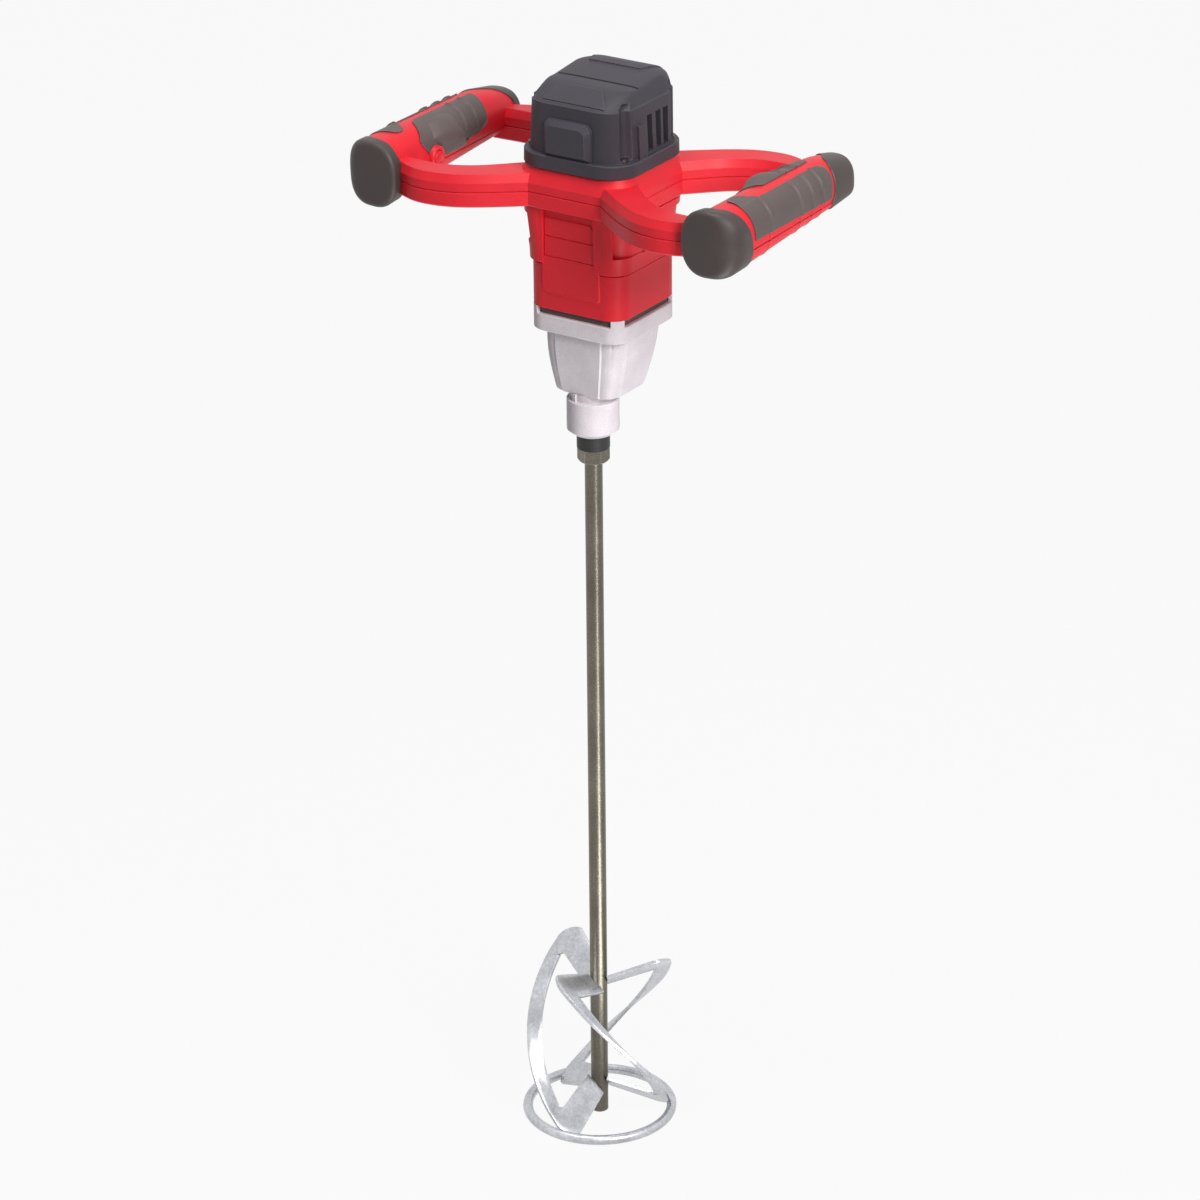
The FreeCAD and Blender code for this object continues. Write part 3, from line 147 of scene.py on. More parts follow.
def finish(name, light, dark, rough, metal=0.0, fine=900.0, broad=22.0, bump=0.12, depth=0.00025,
           edge=None, radius=0.0007, gloss=0.5):
    """Material that varies between two colours and two roughnesses, with grain bump and lighter edges
    that are partly wear and partly painted highlight.
    """
    material = bpy.data.materials.new(name)
    material.use_nodes = True
    tree = material.node_tree
    shader = tree.nodes["Principled BSDF"]
    shader.inputs["Metallic"].default_value = metal
    shader.inputs["Specular IOR Level"].default_value = gloss
    where = place(tree, "ShaderNodeTexCoord", {}).outputs["Object"]
    marks = place(tree, "ShaderNodeGroup", {}, node_tree=grain)
    tree.links.new(where, marks.inputs["Coordinates"])
    marks.inputs["Fine"].default_value = fine
    marks.inputs["Broad"].default_value = broad
    both = place(tree, "ShaderNodeMath", {0: marks.outputs["Mottle"], 1: marks.outputs["Grain"]},
                 operation="MULTIPLY_ADD")
    both.inputs[2].default_value = 0.05
    spread = place(tree, "ShaderNodeMapRange", {"Value": both.outputs["Value"], "From Min": 0.15,
                                                "From Max": 0.45})
    colour = place(tree, "ShaderNodeMix", {0: spread.outputs["Result"], 6: dark, 7: light},
                   data_type="RGBA").outputs[2]
    # Edges take the lighter edge colour: partly wear, partly painted highlight.
    if edge:
        rub_and_highlight = place(tree, "ShaderNodeGroup", {}, node_tree=edge_wear_and_highlight)
        tree.links.new(where, rub_and_highlight.inputs["Coordinates"])
        rub_and_highlight.inputs["Radius"].default_value = radius
        rub_and_highlight.inputs["Breakup"].default_value = 160.0
        colour = place(tree, "ShaderNodeMix", {0: rub_and_highlight.outputs["Wear"], 6: colour, 7: edge},
                       data_type="RGBA").outputs[2]
    tree.links.new(colour, shader.inputs["Base Color"])
    sheen = place(tree, "ShaderNodeMapRange", {"Value": marks.outputs["Mottle"], "From Min": 0.3,
                                               "From Max": 0.7, "To Min": rough[0], "To Max": rough[1]})
    tree.links.new(sheen.outputs["Result"], shader.inputs["Roughness"])
    relief = place(tree, "ShaderNodeBump", {"Strength": bump, "Distance": depth,
                                            "Height": marks.outputs["Grain"]})
    tree.links.new(relief.outputs["Normal"], shader.inputs["Normal"])
    return material


black_steel = finish("blackened steel", tone(40, 40, 41), tone(30, 30, 31), (0.42, 0.55), fine=700,
                     bump=0.08, edge=tone(92, 90, 88), gloss=0.4)
nose = skin("spindle_nose", [(turned([
    (0.0, -17.4), (12.2, -17.4), (13.0, -16.6), (13.0, -3.0), (12.6, -2.6), (12.6, 2.0), (0.0, 2.0)]),
    True, True)])
nose.data.materials.append(black_steel)
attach(nose, "spindle")
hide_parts("spindle")


# Gearbox casting
# One aluminium die casting: clamping collar, neck, tapered case with corner bands, flange and posts.
# Shot-blasted after casting, so it is pale, finely speckled and softly matt.
# Four screws through its flange hold it to the motor, whose axis is at motor_y.
motor_y = 15.5


def square_loop(arc, stops):
    """Corner signs and outward directions round a rounded square, anticlockwise from its +X side.

    A point of the outline is (half - corner) * sign + corner * direction; stops are the places of
    columns along each flat, from -1 to 1.
    """
    corners = np.array([(1, 1), (-1, 1), (-1, -1), (1, -1)], float)
    share = np.array(stops, float)[:, None]
    signs = []
    ways = []
    for k in range(4):
        turn = np.radians(np.linspace(90 * k, 90 * k + 90, arc + 1))
        ways.append(np.stack([np.cos(turn), np.sin(turn)], axis=1))
        signs.append(np.tile(corners[k], (arc + 1, 1)))
        ways.append(np.tile(ways[-1][-1], (len(stops), 1)))
        signs.append((corners[k] * (1 - share) + corners[(k + 1) % 4] * (1 + share)) / 2)
    return np.concatenate(signs), np.concatenate(ways)


def stacked(rows, loop, offset=0.0, back=motor_y):
    """Outlines (z, half, corner) one above another, centred at y back.

    offset moves points along the outward directions.
    """
    signs, ways = loop
    z, half, corner = np.array(rows, float).T[:, :, None]
    x = (half - corner) * signs[:, 0] + (corner + offset) * ways[:, 0]
    y = (half - corner) * signs[:, 1] + (corner + offset) * ways[:, 1] + back
    return np.dstack([x, y, np.broadcast_to(z, x.shape)])


cast_aluminium = finish("cast aluminium", tone(236, 229, 233), tone(206, 198, 204), (0.42, 0.58),
                        fine=1500, broad=40, bump=0.35, depth=0.0003, edge=tone(252, 250, 250),
                        radius=0.0009)
share = np.linspace(0, 1, 14)
taper = np.stack([33 + 49.4 * share, 29 + 7 * np.sin(np.pi / 2 * share), 12 + 3 * share], axis=1)
case_rows = np.concatenate([[(31.0, 27.2, 10.4), (32.0, 28.6, 11.7)], taper])
case_back = np.concatenate([[10.8, 10.9], 10.9 + 4.6 * share])[:, None]
case_loop = square_loop(18, (-0.96, -0.93, 0.0, 0.93, 0.96))
case_z = case_rows[:, :1]
corner_band = np.tile(np.concatenate([np.ones(19), np.zeros(5)]), 4) > 0
groove = np.tile(np.isin(np.arange(24), (7, 11)), 4)
groove_depth = 0.9
band = -1.2 * corner_band - groove * np.clip((case_z - 66) / 12, 0, 1) * groove_depth
flange_rows = [(82.0, 34.0, 12.0), (82.0, 41.8, 14.2), (82.8, 42.6, 15.0), (94.9, 42.6, 15.0),
               (95.5, 42.0, 14.4), (95.5, 39.4, 11.8), (84.0, 39.4, 11.8)]
plain_loop = square_loop(16, (-0.9, 0.0, 0.9))
collar = turned([(13.4, 4.0), (13.4, -4.0), (13.9, -4.5), (15.6, -4.5), (20.5, -0.6), (20.5, 0.2),
                 (20.5, 24.3), (19.8, 25.0), (17.5, 25.0), (17.5, 31.5)])
casting = [(collar, True, False), (stacked(case_rows, case_loop, band, case_back), True, True),
           (stacked(flange_rows, plain_loop), True, False)]
post_turn = np.radians(np.linspace(24, 66, 9))
post_way = np.stack([np.cos(post_turn), np.sin(post_turn)], axis=1)
post_at = 27.6
post_ring = np.concatenate([post_at + 15.0 * post_way, post_at + 12.0 * post_way[::-1]])
for sx, sy in ((1, 1), (-1, 1), (-1, -1), (1, -1)):
    level = np.tile(post_ring * (sx, sy) + (0, motor_y), (2, 1, 1))
    height = np.broadcast_to(np.array([95.3, 101.0])[:, None, None], (2, len(post_ring), 1))
    casting.append((np.concatenate([level, height], axis=2), True, True))
rib_out, rib_aside = np.array([(16.5, -1.5), (19.2, -1.5), (19.2, 1.5), (16.5, 1.5)]).T
for turn in np.radians([-107.0, 73.0]):
    rib_plan = np.stack([rib_out * np.cos(turn) - rib_aside * np.sin(turn),
                         rib_out * np.sin(turn) + rib_aside * np.cos(turn)], axis=1)
    level = np.tile(rib_plan, (2, 1, 1))
    height = np.broadcast_to(np.array([24.8, 31.3])[:, None, None], (2, 4, 1))
    casting.append((np.concatenate([level, height], axis=2), True, True))
gearbox = skin("gearbox_casting", casting, crisp=30)
gearbox.data.materials.append(cast_aluminium)
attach(gearbox, "tool_body")
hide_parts("gearbox_housing")


# Motor housing
# A square tube moulded in satin red nylon, with three thin plates proud of its front.
# It stands on the four posts of the casting and is held by the screws through the flange.
red_plastic = finish("red nylon", tone(228, 38, 52), tone(214, 30, 44), (0.38, 0.5), fine=1300, broad=30,
                     bump=0.10, depth=0.0002, edge=tone(238, 62, 74), radius=0.0006, gloss=0.32)
tube = stacked([(103.0, 38.0, 11.0), (100.7, 39.0, 12.0), (100.7, 41.9, 14.4), (101.4, 42.5, 15.0),
                (136.4, 42.5, 15.0), (136.6, 41.3, 13.8), (138.9, 41.3, 13.8), (139.1, 42.5, 15.0),
                (181.8, 42.5, 15.0), (182.0, 40.4, 12.9), (186.0, 40.4, 12.9)], plain_loop)
plate_back = -26.5
plate_front = -28.1


def plate(x0, x1, z0, z1, corners, back, front, bevel):
    """Flat plate facing -Y: a rectangle with four corner radii, drawn in by bevel at its front edge."""
    left, right, top_right, top_left = corners
    centres = np.array([(x0 + left, z0 + left), (x1 - right, z0 + right),
                        (x1 - top_right, z1 - top_right), (x0 + top_left, z1 - top_left)])
    turn = np.radians(np.linspace(0, 90, 7) + np.array([180, 270, 0, 90])[:, None])
    way = np.stack([np.cos(turn), np.sin(turn)], axis=-1)
    radius = np.array(corners, float)[:, None, None]
    rim = (centres[:, None, :] + radius * way).reshape(-1, 2)
    middle = np.array([(x0 + x1) / 2, (z0 + z1) / 2])
    draw = 1 - bevel / np.array([(x1 - x0) / 2, (z1 - z0) / 2])
    inner = middle + (rim - middle) * draw
    grid = np.stack([rim, rim, inner])
    depth = np.broadcast_to(np.array([back, front + bevel, front])[:, None, None], (3, len(rim), 1))
    return np.concatenate([grid[..., :1], depth, grid[..., 1:]], axis=2), True, True


housing = skin("motor_tube", [
    (tube, True, False),
    plate(-27.0, 25.0, 114.5, 144.2, (5.0, 2.5, 0.6, 0.6), plate_back, plate_front, 0.5),
    plate(-24.4, 20.4, 144.8, 160.2, (0.6, 0.6, 0.6, 0.6), plate_back, plate_front, 0.4),
    plate(-24.4, 20.4, 160.8, 175.5, (0.6, 0.6, 6.0, 2.0), plate_back, plate_front, 0.5)], crisp=30)
housing.data.materials.append(red_plastic)
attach(housing, "tool_body")
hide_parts("motor_housing")


# Air shrouds
# Two thin moulded covers wrapped round the sides of the housing, over its air outlets.
# Each has a wedge-shaped air scoop at its corners and four slots in its side, and snaps on.
def shroud(side):
    """Cover from the front flat round one side to the back flat, as offset(column, row) from the tube.

    The offset is the cover's thickness, less a wedge at each corner and less the slots in the side.
    """
    arc = np.concatenate([np.linspace(-90, -58.6, 14), np.linspace(-57.6, 0, 22)])
    ends = len(arc) + 2
    edge_x = 21.0 if side > 0 else 25.0
    corner_x = 27.5
    front_y = motor_y - corner_x
    rear_y = motor_y + corner_x
    flat = np.array([-11.9, 0.0, 0.8, 30.2, 31.0, 42.9])
    half_x = np.concatenate([[edge_x, edge_x + 1], np.full(2 * len(arc) + len(flat), corner_x),
                             [edge_x + 1, edge_x]])
    half_y = np.concatenate([np.full(ends, front_y), flat, np.full(ends, rear_y)])
    way = np.radians(np.concatenate([[-90, -90], arc, np.zeros(len(flat)), -arc[::-1], [90, 90]]))
    slot_foot = 150
    slot_pitch = 5
    slot_count = 4
    slot_z = slot_foot + slot_pitch * np.arange(slot_count)
    edges = np.stack([slot_z + 0.9, slot_z + 1.1, slot_z + 3.9, slot_z + 4.1], axis=1).ravel()
    rows = np.sort(np.concatenate([[138.5, 138.9, 146.0, 151.8, 152.3, 176.3, 176.8, 182.0], edges]))
    z = rows[:, None]
    far = 99
    on_arc = (arc + 58.1) * 0.29
    past = np.concatenate([[-9, -9], on_arc, 16.8 + (flat - front_y), np.full(ends, far)])
    from_end = np.concatenate([np.full(ends, far), 16.8 + (rear_y - flat), on_arc[::-1], [-9, -9]])
    reach = np.minimum(np.where(past < 0, far, past), np.where(from_end < 0, far, from_end))
    scoop_depth = 3.4
    scoop_length = 24
    scoop = scoop_depth * np.clip(1 - reach / scoop_length, 0, 1) * (np.abs(z - 164.3) < 12.1)
    in_flat = np.concatenate([np.zeros(ends), (flat > 0.4) & (flat < 30.6), np.zeros(ends)])
    step = (z - slot_foot) % slot_pitch
    slot = (step > 1) & (step < 4) & (z > slot_foot) & (z < slot_foot + slot_pitch * slot_count)
    thickness = 2.4
    slot_depth = 1.8
    flare = 4.2
    lift = thickness - scoop - slot_depth * in_flat * slot - 0.3 * (z < 138.7)
    inside = np.clip(1 + np.minimum(past, from_end) / 12, 0, 1)
    lift = lift + flare * np.clip((z - 144) / 36, 0, 1) * inside
    radius = 15.0 + lift
    sunk_radius = 14.0
    outer = np.dstack([side * (half_x + radius * np.cos(way)), half_y + radius * np.sin(way),
                       np.broadcast_to(z, (len(rows), len(way)))])
    inner = np.dstack([side * (half_x + sunk_radius * np.cos(way)) + 0 * z,
                       half_y + sunk_radius * np.sin(way) + 0 * z,
                       np.broadcast_to(z, (len(rows), len(way)))])
    return np.concatenate([outer, inner[:, ::-1]], axis=1)


for name, side in (("air_shroud_right", 1), ("air_shroud_left", -1)):
    cover = skin("cover_" + name, [(shroud(side), True, True)], crisp=30)
    cover.data.materials.append(red_plastic)
    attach(cover, "tool_body")
    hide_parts(name)


# Handle frame
# Two red nylon shells, an H in plan: a ring round the motor, four bent arms and two bars.
# They part on a level line, where small chamfers along both lips leave a thin shadow line.
# Screws from below close them; the bars run along Y at x bar_x and z bar_z, on either side.
bar_x = 154
bar_z = 200
bar_half_x = 20.5
bar_half_z = 25
button_y = -14.5
arm_mirror = 36.0
outer_ribs = (-25.0, 18.0, 34.5, 49.0)


def rail(points, count):
    """Smooth plan line: corners of the polyline cut five times at quarters, then even steps along it."""
    line = np.array(points, float)
    for _ in range(5):
        first_cut = 0.75 * line[:-1] + 0.25 * line[1:]
        second_cut = 0.25 * line[:-1] + 0.75 * line[1:]
        cut = np.stack([first_cut, second_cut], axis=1)
        line = np.concatenate([line[:1], cut.reshape(-1, 2), line[-1:]])
    length = np.concatenate([[0], np.cumsum(np.linalg.norm(np.diff(line, axis=0), axis=1))])
    even = np.linspace(0, length[-1], count)
    return np.stack([np.interp(even, length, line[:, 0]), np.interp(even, length, line[:, 1])], axis=1)


front_rail = rail([(8, -18), (30, -35), (46, -47.3), (59, -57.0), (75, -67), (90, -72.5), (108, -74.5),
                   (123, -70.5), (146, -58)], 40)
back_rail = rail([(36, 4), (52, -10), (66, -24), (80, -37), (98, -46), (114, -48), (146, -46)], 40)


def arm(profile, flip_x, flip_y):
    """Section carried along the two rails: each (inset, z) of the profile gives a line on either side.

    The rear arms are the front ones mirrored about the plane y arm_mirror / 2.
    """
    across = back_rail - front_rail
    across = across / np.linalg.norm(across, axis=1, keepdims=True)
    inset, z = np.array(profile, float).T
    front = front_rail[:, None] + inset[:, None] * across[:, None]
    back = (back_rail[:, None] - inset[:, None] * across[:, None])[:, ::-1]
    plan = np.concatenate([front, back], axis=1)
    height = np.broadcast_to(np.concatenate([z, z[::-1]])[None, :, None], plan.shape[:2] + (1,))
    grid = np.concatenate([plan, height], axis=2)
    grid[..., 0] *= flip_x
    grid[..., 1] = grid[..., 1] if flip_y > 0 else arm_mirror - grid[..., 1]
    return grid, True, True


def bar_point(angle, y, offset, side):
    """Point of a handle bar: an oval of exponent 2.5 about its axis, angle 0 outside and 90 on top.

    Its underside rises evenly towards the back, and its top and sides draw in near the rear end.
    """
    turn = np.radians(angle)
    size = (np.abs(np.cos(turn)) ** 2.5 + np.abs(np.sin(turn)) ** 2.5) ** -0.4
    drawn = np.clip((y - 62) / 48, 0, 1) ** 1.7
    top = bar_half_z - 8 * drawn
    underside = bar_half_z - 0.085 * np.clip(y + 60, 0, 200)
    half_z = np.where(np.sin(turn) > 0, top, underside)
    x = side * (bar_x + (bar_half_x - 3.0 * drawn + offset) * size * np.cos(turn))
    z = bar_z + (half_z + offset) * size * np.sin(turn)
    return np.stack(np.broadcast_arrays(x, y, z), axis=-1)


def bumps(away, width):
    """Smooth rib: one cosine wave that is 1 at its middle and 0 from width mm away on."""
    return np.where(np.abs(away) < width, 0.5 + 0.5 * np.cos(np.pi * away / width), 0.0)


def half_bar(side, upper):
    """Upper or lower part of a bar: an arc of the oval, closed at the parting line, carried along Y."""
    angle = np.linspace(-15, 195, 60) if upper else np.linspace(-18, -162, 40)
    y = np.concatenate([[-66.0], np.linspace(-40, 96, 137), [98.0, 100.0, 101.5, 102.5]])[:, None]
    ribbed = (angle < 4) * (angle > -80)
    lift = sum(0.5 * bumps(y - rib, 2.4) for rib in outer_ribs) * ribbed
    lift = lift - 9 * np.clip((y - 98.3) / 4.5, 0, 1) ** 2.5
    return bar_point(angle[None, :], y, lift, side), True, True


upper_profile = [(0.8, 196.6), (0.0, 197.3), (0.0, 203.8), (3.5, 210.0)]
lower_profile = [(2.0, 184.2), (0.0, 185.8), (0.0, 195.7), (0.8, 196.4)]
upper_ring = stacked([(196.5, 43.0, 14.0), (196.6, 51.8, 20.2), (197.3, 52.6, 21.0),
                      (203.5, 52.6, 21.0), (215.9, 46.0, 18.2), (215.9, 40.0, 13.0)], plain_loop)
lower_ring = stacked([(196.5, 43.0, 14.0), (196.4, 51.8, 20.2), (195.7, 52.6, 21.0),
                      (185.8, 52.6, 21.0), (184.2, 50.8, 19.2), (184.2, 39.0, 12.0)], plain_loop)


def turned_x(profile):
    """Grid of a form turned about the lock button's axis: each (x, radius) goes once round it."""
    x, radius = np.array(profile, float).T[:, :, None]
    turn = np.linspace(0, 2 * np.pi, 40, endpoint=False)
    return np.dstack([np.broadcast_to(x, (len(profile), 40)), button_y + radius * np.cos(turn),
                      bar_z + radius * np.sin(turn)])


guard_ring = turned_x([(-136.0, 5.6), (-130.2, 5.6), (-129.4, 6.2), (-129.4, 7.6), (-130.1, 8.4),
                       (-136.5, 9.3)])
flips = ((1, 1), (-1, 1), (1, -1), (-1, -1))
upper_sheets = [(upper_ring, True, False), (guard_ring, True, False)]
upper_sheets += [arm(upper_profile, fx, fy) for fx, fy in flips] + [half_bar(s, True) for s in (1, -1)]
lower_sheets = [(lower_ring, True, False)]
lower_sheets += [arm(lower_profile, fx, fy) for fx, fy in flips] + [half_bar(s, False) for s in (1, -1)]
upper = skin("frame_upper_shell", upper_sheets, crisp=12)
lower = skin("frame_lower_shell", lower_sheets, crisp=12)
for shell, node in ((upper, "handle_frame_upper"), (lower, "handle_frame_lower")):
    shell.data.materials.append(red_plastic)
    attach(shell, "tool_body")
    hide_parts(node)


# Grip pads
# Soft rubber moulded onto the bars, brown-grey and matt, with raised ribs and a swell for the fingers.
# The outer pads reach over the top at the front; a red stripe of the bar stays bare between the pads.
def pad(side, angles, front, rear, ribs, swell):
    """Patch on the bar from front(angle) to rear(angle), raised, with ribs and a finger swell.

    The section runs over the outside of the pad and back below the bar's surface.
    """
    rise = 0.9
    rib_rise = 1.4
    sunk = -1.5
    angle = np.unique(np.concatenate([np.linspace(angles[0], angles[-1], 46), angles]))
    share = np.linspace(0, 1, 110)[:, None]
    y0 = np.interp(angle, angles, front)
    y1 = np.interp(angle, angles, rear)
    y = y0 + (y1 - y0) * share
    lift = np.full(y.shape, rise)
    for rib in ribs:
        lift = lift + rib_rise * bumps(y - rib + 0.03 * (angle - 45), 1.8)
    across = np.clip((angle - angles[0]) / (angles[-1] - angles[0]), 0, 1)
    lift = lift + swell * np.sin(np.pi * across) ** 0.8 * bumps(y - 12, 24)
    outer = bar_point(angle[None, :], y, lift, side)
    inner = bar_point(angle[None, :], y, sunk, side)
    return np.concatenate([outer, inner[:, ::-1]], axis=1), True, True


grip_rubber = finish("grip rubber", tone(99, 87, 85), tone(82, 72, 70), (0.46, 0.6), fine=2200, broad=35,
                     bump=0.3, depth=0.00025, edge=tone(132, 124, 121), radius=0.0006, gloss=0.4)
outer_angles = [0, 15, 32, 49, 58, 64, 67]
outer_front = [-46.7, -47.2, -48.7, -49.9, -49.9, -49.8, -49.7]
outer_rear = [62.0, 63.6, 65.0, 65.0, 64.4, 60.5, 56.6]
tongue_angles = [66, 83, 92, 104, 109]
tongue_front = [-49.7, -47.7, -47.0, -45.5, -41.5]
tongue_rear = [-23.0, -29.5, -31.3, -34.0, -37.5]
inner_angles = [91, 96, 110, 120, 131, 143, 154, 166, 174, 181]
inner_front = [-15.0, -18.0, -22.0, -24.5, -26.7, -30.5, -29.0, -24.0, -22.0, -20.0]
inner_rear = [60.5, 61.7, 60.8, 59.6, 58.8, 58.0, 57.6, 57.0, 44.0, 15.0]
for side, word in ((1, "right"), (-1, "left")):
    outside = skin("grip_" + word + "_outer",
                   [pad(side, outer_angles, outer_front, outer_rear, outer_ribs, 0.0),
                    pad(side, tongue_angles, tongue_front, tongue_rear, (), 0.0)], crisp=40)
    swell = 5.0 if side > 0 else 1.2
    front = np.array(inner_front) + 7 * (side + 1)
    inside = skin("grip_" + word + "_inner",
                  [pad(side, inner_angles, front, inner_rear, (31.5, 47.0), swell)], crisp=40)
    for piece, place_word in ((outside, "outer"), (inside, "inner")):
        piece.data.materials.append(grip_rubber)
        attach(piece, "tool_body")
        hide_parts("grip_pad_" + word + "_" + place_word)


# End caps
# Rubber caps pressed over the ends of the bars: rounded on the outside, nearly square on the inside.
# Their edge runs slanting over the bar, and each is plugged into the bar's bore.
def end_cap(side, angles, edge, face, way):
    """Cap from edge(angle) to its face: a shoulder of radius(angle), then the face to its middle.

    way is -1 for a front cap and 1 for a rear one; rows go from below the edge to the face's middle.
    """
    angle = np.linspace(0, 360, 96, endpoint=False)
    y_edge = np.interp(angle, angles, edge, period=360)
    turn = np.radians(angle)
    radius = 4.0 + 11.0 * np.clip(np.cos(turn), 0, 1) ** 1.3 + 2.0 * np.clip(-np.sin(turn), 0, 1)
    flare = 5.0 * np.clip(-np.cos(turn), 0, 1) ** 1.5 * (way < 0)
    bend = np.radians(np.linspace(0, 86, 9))[:, None]
    shoulder_y = face - way * radius * (1 - np.sin(bend))
    shoulder_in = 1.0 + flare - radius * (1 - np.cos(bend))
    y = np.concatenate([[y_edge, y_edge, y_edge + way * 0.6], shoulder_y])
    lift = np.concatenate([[np.full(96, -1.5), 0.5 + 0.5 * flare, 1.0 + 0.7 * flare], shoulder_in])
    wall = bar_point(angle[None, :], y, lift, side)
    rim = wall[-1]
    middle = rim.mean(axis=0)
    inward = np.array([0.85, 0.5, 0.15, 0.0])[:, None, None]
    bulge = np.array([0.15, 0.5, 0.7, 0.75])[:, None]
    disc = middle + (rim - middle) * inward
    disc[..., 1] = disc[..., 1] + way * bulge
    return np.concatenate([wall, disc]), True, False


cap_rubber = finish("cap rubber", tone(67, 56, 55), tone(54, 45, 44), (0.42, 0.56), fine=2200, broad=35,
                    bump=0.25, depth=0.00025, edge=tone(132, 124, 121), radius=0.0006, gloss=0.45)
front_angles = [-150, -90, -33, -5, 19, 41, 64, 90, 109, 145, 180]
front_edge = [-59.0, -52.0, -49.0, -50.3, -53.0, -57.2, -61.5, -64.5, -66.0, -66.0, -61.5]
rear_angles = [-150, -90, -15, 4, 26, 50, 78, 101, 145, 180]
rear_edge = [98.5, 76.0, 63.5, 67.0, 68.0, 69.6, 76.0, 88.0, 98.5, 99.0]
for side, word in ((1, "right"), (-1, "left")):
    for end, angles, edge, face, way in (("front", front_angles, front_edge, -77.8, -1),
                                         ("rear", rear_angles, rear_edge, 109.0, 1)):
        cap_end = skin("bar_end_" + word + "_" + end, [end_cap(side, angles, edge, face, way)], crisp=42)
        cap_end.data.materials.append(cap_rubber)
        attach(cap_end, "tool_body")
        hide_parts("end_cap_" + word + "_" + end)


# Cord gland
# A bored rubber sleeve with a lip, pushed through the left rear end cap.
# It holds the mouth where the lead enters the bar.
sleeve = np.array([(90.5, 4.2), (90.5, 7.6), (91.0, 8.0), (108.4, 8.0), (108.6, 9.6), (109.2, 10.0),
                   (110.0, 10.0), (110.5, 9.4), (110.5, 4.8), (110.0, 4.2), (90.5, 4.2)])
sleeve_turn = np.linspace(0, 2 * np.pi, 40, endpoint=False)
sleeve_grid = np.dstack([-bar_x + sleeve[:, 1:] * np.cos(sleeve_turn),
                         np.broadcast_to(sleeve[:, :1], (len(sleeve), 40)),
                         bar_z + sleeve[:, 1:] * np.sin(sleeve_turn)])
gland = skin("cord_sleeve", [(sleeve_grid, True, False)], crisp=40)
gland.data.materials.append(cap_rubber)
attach(gland, "tool_body")
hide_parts("cord_gland")


# Trigger
# A long rubber-skinned finger lever on the inside of the left bar, swelling out of the pad.
# It turns on a pin at its rear end and presses the switch in the bar.
def lever(side):
    """Bulging patch on the bar: lift is a product of two half waves, along the bar and across it."""
    angles = np.array([114, 125, 135, 150, 160, 168, 178, 188], float)
    angle = np.linspace(114, 188, 40)
    share = np.linspace(0, 1, 60)[:, None]
    y0 = np.interp(angle, angles, [-10, -12.5, -14, -15, -12.5, -6.6, -6.6, -6.6])
    y1 = np.interp(angle, angles, [21, 20, 20, 22, 26, 29, 29, 29])
    y = y0 + (y1 - y0) * share
    across = (angle - 110) / (191 - 110)
    along = np.sin(np.pi * np.clip(share, 0.01, 0.99)) ** 0.6
    lift = -0.4 + 6.2 * along * np.sin(np.pi * across) ** 0.6
    outer = bar_point(angle[None, :], y, lift, side)
    inner = bar_point(angle[None, :], y, -2.5, side)
    return np.concatenate([outer, inner[:, ::-1]], axis=1), True, True


trigger = skin("trigger_lever", [lever(-1)], crisp=45)
trigger.data.materials.append(grip_rubber)
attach(trigger, "trigger")
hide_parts("trigger")


# Lock button
# A small red button with a domed end inside its guard ring, just in front of the trigger.
# Pressed in, it holds the trigger down; a coil spring behind it pushes it out again.
button_grid = turned_x([(-135.4, 0.01), (-135.4, 4.9), (-130.0, 4.9), (-129.0, 4.2), (-128.6, 2.8),
                        (-128.5, 0.01)])
knob = skin("lock_button_knob", [(button_grid, True, True)], crisp=40)
knob.data.materials.append(red_plastic)
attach(knob, "lock_button")
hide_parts("lock_button")


# Motor cap
# The dark cover over the brushes: flange, tapered body with air slots, screw grooves and bumper pad.
# Its low dome rises to the back and carries two raised panels; a thin near-black strip between them is
# painted shade of the seam.
# Moulded in finely textured charcoal nylon, held by four long screws in the grooves.
charcoal = finish("charcoal nylon", tone(64, 61, 69), tone(52, 49, 55), (0.46, 0.58), fine=1900,
                  broad=28, bump=0.3, depth=0.00022, edge=tone(112, 110, 118), radius=0.0007,
                  gloss=0.28)
vent_y = np.array([13.6, 25.0, 34.6])
vent_half = 3.3
cap_flat = 23.0
cap_foot = 226.8
vent_edges = np.concatenate([vent_y - vent_half - 0.15, vent_y - vent_half + 0.1,
                             vent_y + vent_half - 0.1, vent_y + vent_half + 0.15,
                             [-5.0, -4.9, 0.0, 4.9, 5.0]])
cap_stops = np.concatenate([(vent_edges - motor_y) / cap_flat, (motor_y - vent_edges) / cap_flat,
                            [-0.985, -0.5, 0.0, 0.5, 0.985]])
cap_stops = np.unique(np.round(cap_stops, 4))
cap_stops = cap_stops[np.abs(cap_stops) < 0.99]
cap_loop = square_loop(36, cap_stops)


def cap_wall(z):
    """Half width of the cap's wall, which leans in by 2 mm over 39.5 mm of height."""
    return 45.6 - 2.0 * (z - cap_foot) / 39.5


def rear_rise(y):
    """Way behind the line from which the dome rises to the back."""
    return np.clip(y - 8, 0, 60)


wall_z = np.concatenate([[cap_foot, 227.6, 228.2, 228.6, 229.2], np.linspace(231, 247, 6),
                         np.linspace(249, 257, 11), [258.5, 262.0, 264.5, 266.1]])
wall_half = cap_wall(wall_z)
crown_half = [6.0, 12.0, 18.0, 22.0, 26.0, 31.0, 36.0, 40.0, 42.6]
crown_x = [20.0, 30.0, 36.0, 37.6, 38.6, 39.6, 40.7, 41.7, 42.4]
crown_z = [277.6, 277.4, 276.9, 276.1, 274.8, 272.6, 270.1, 267.9, 266.5]
dome_half = np.linspace(42.3, 6.0, 24)
dome_wide = np.interp(dome_half, crown_half, crown_x) / dome_half
dome_flat = np.interp(dome_half, [6.0, 20.6, 42.6], [3.0, 12.5, cap_flat])
dome_back = np.interp(dome_half, [6.0, 24.0, 30.0, 36.0, 42.6], [2.0, 1.6, 1.43, 1.27, 1.09])
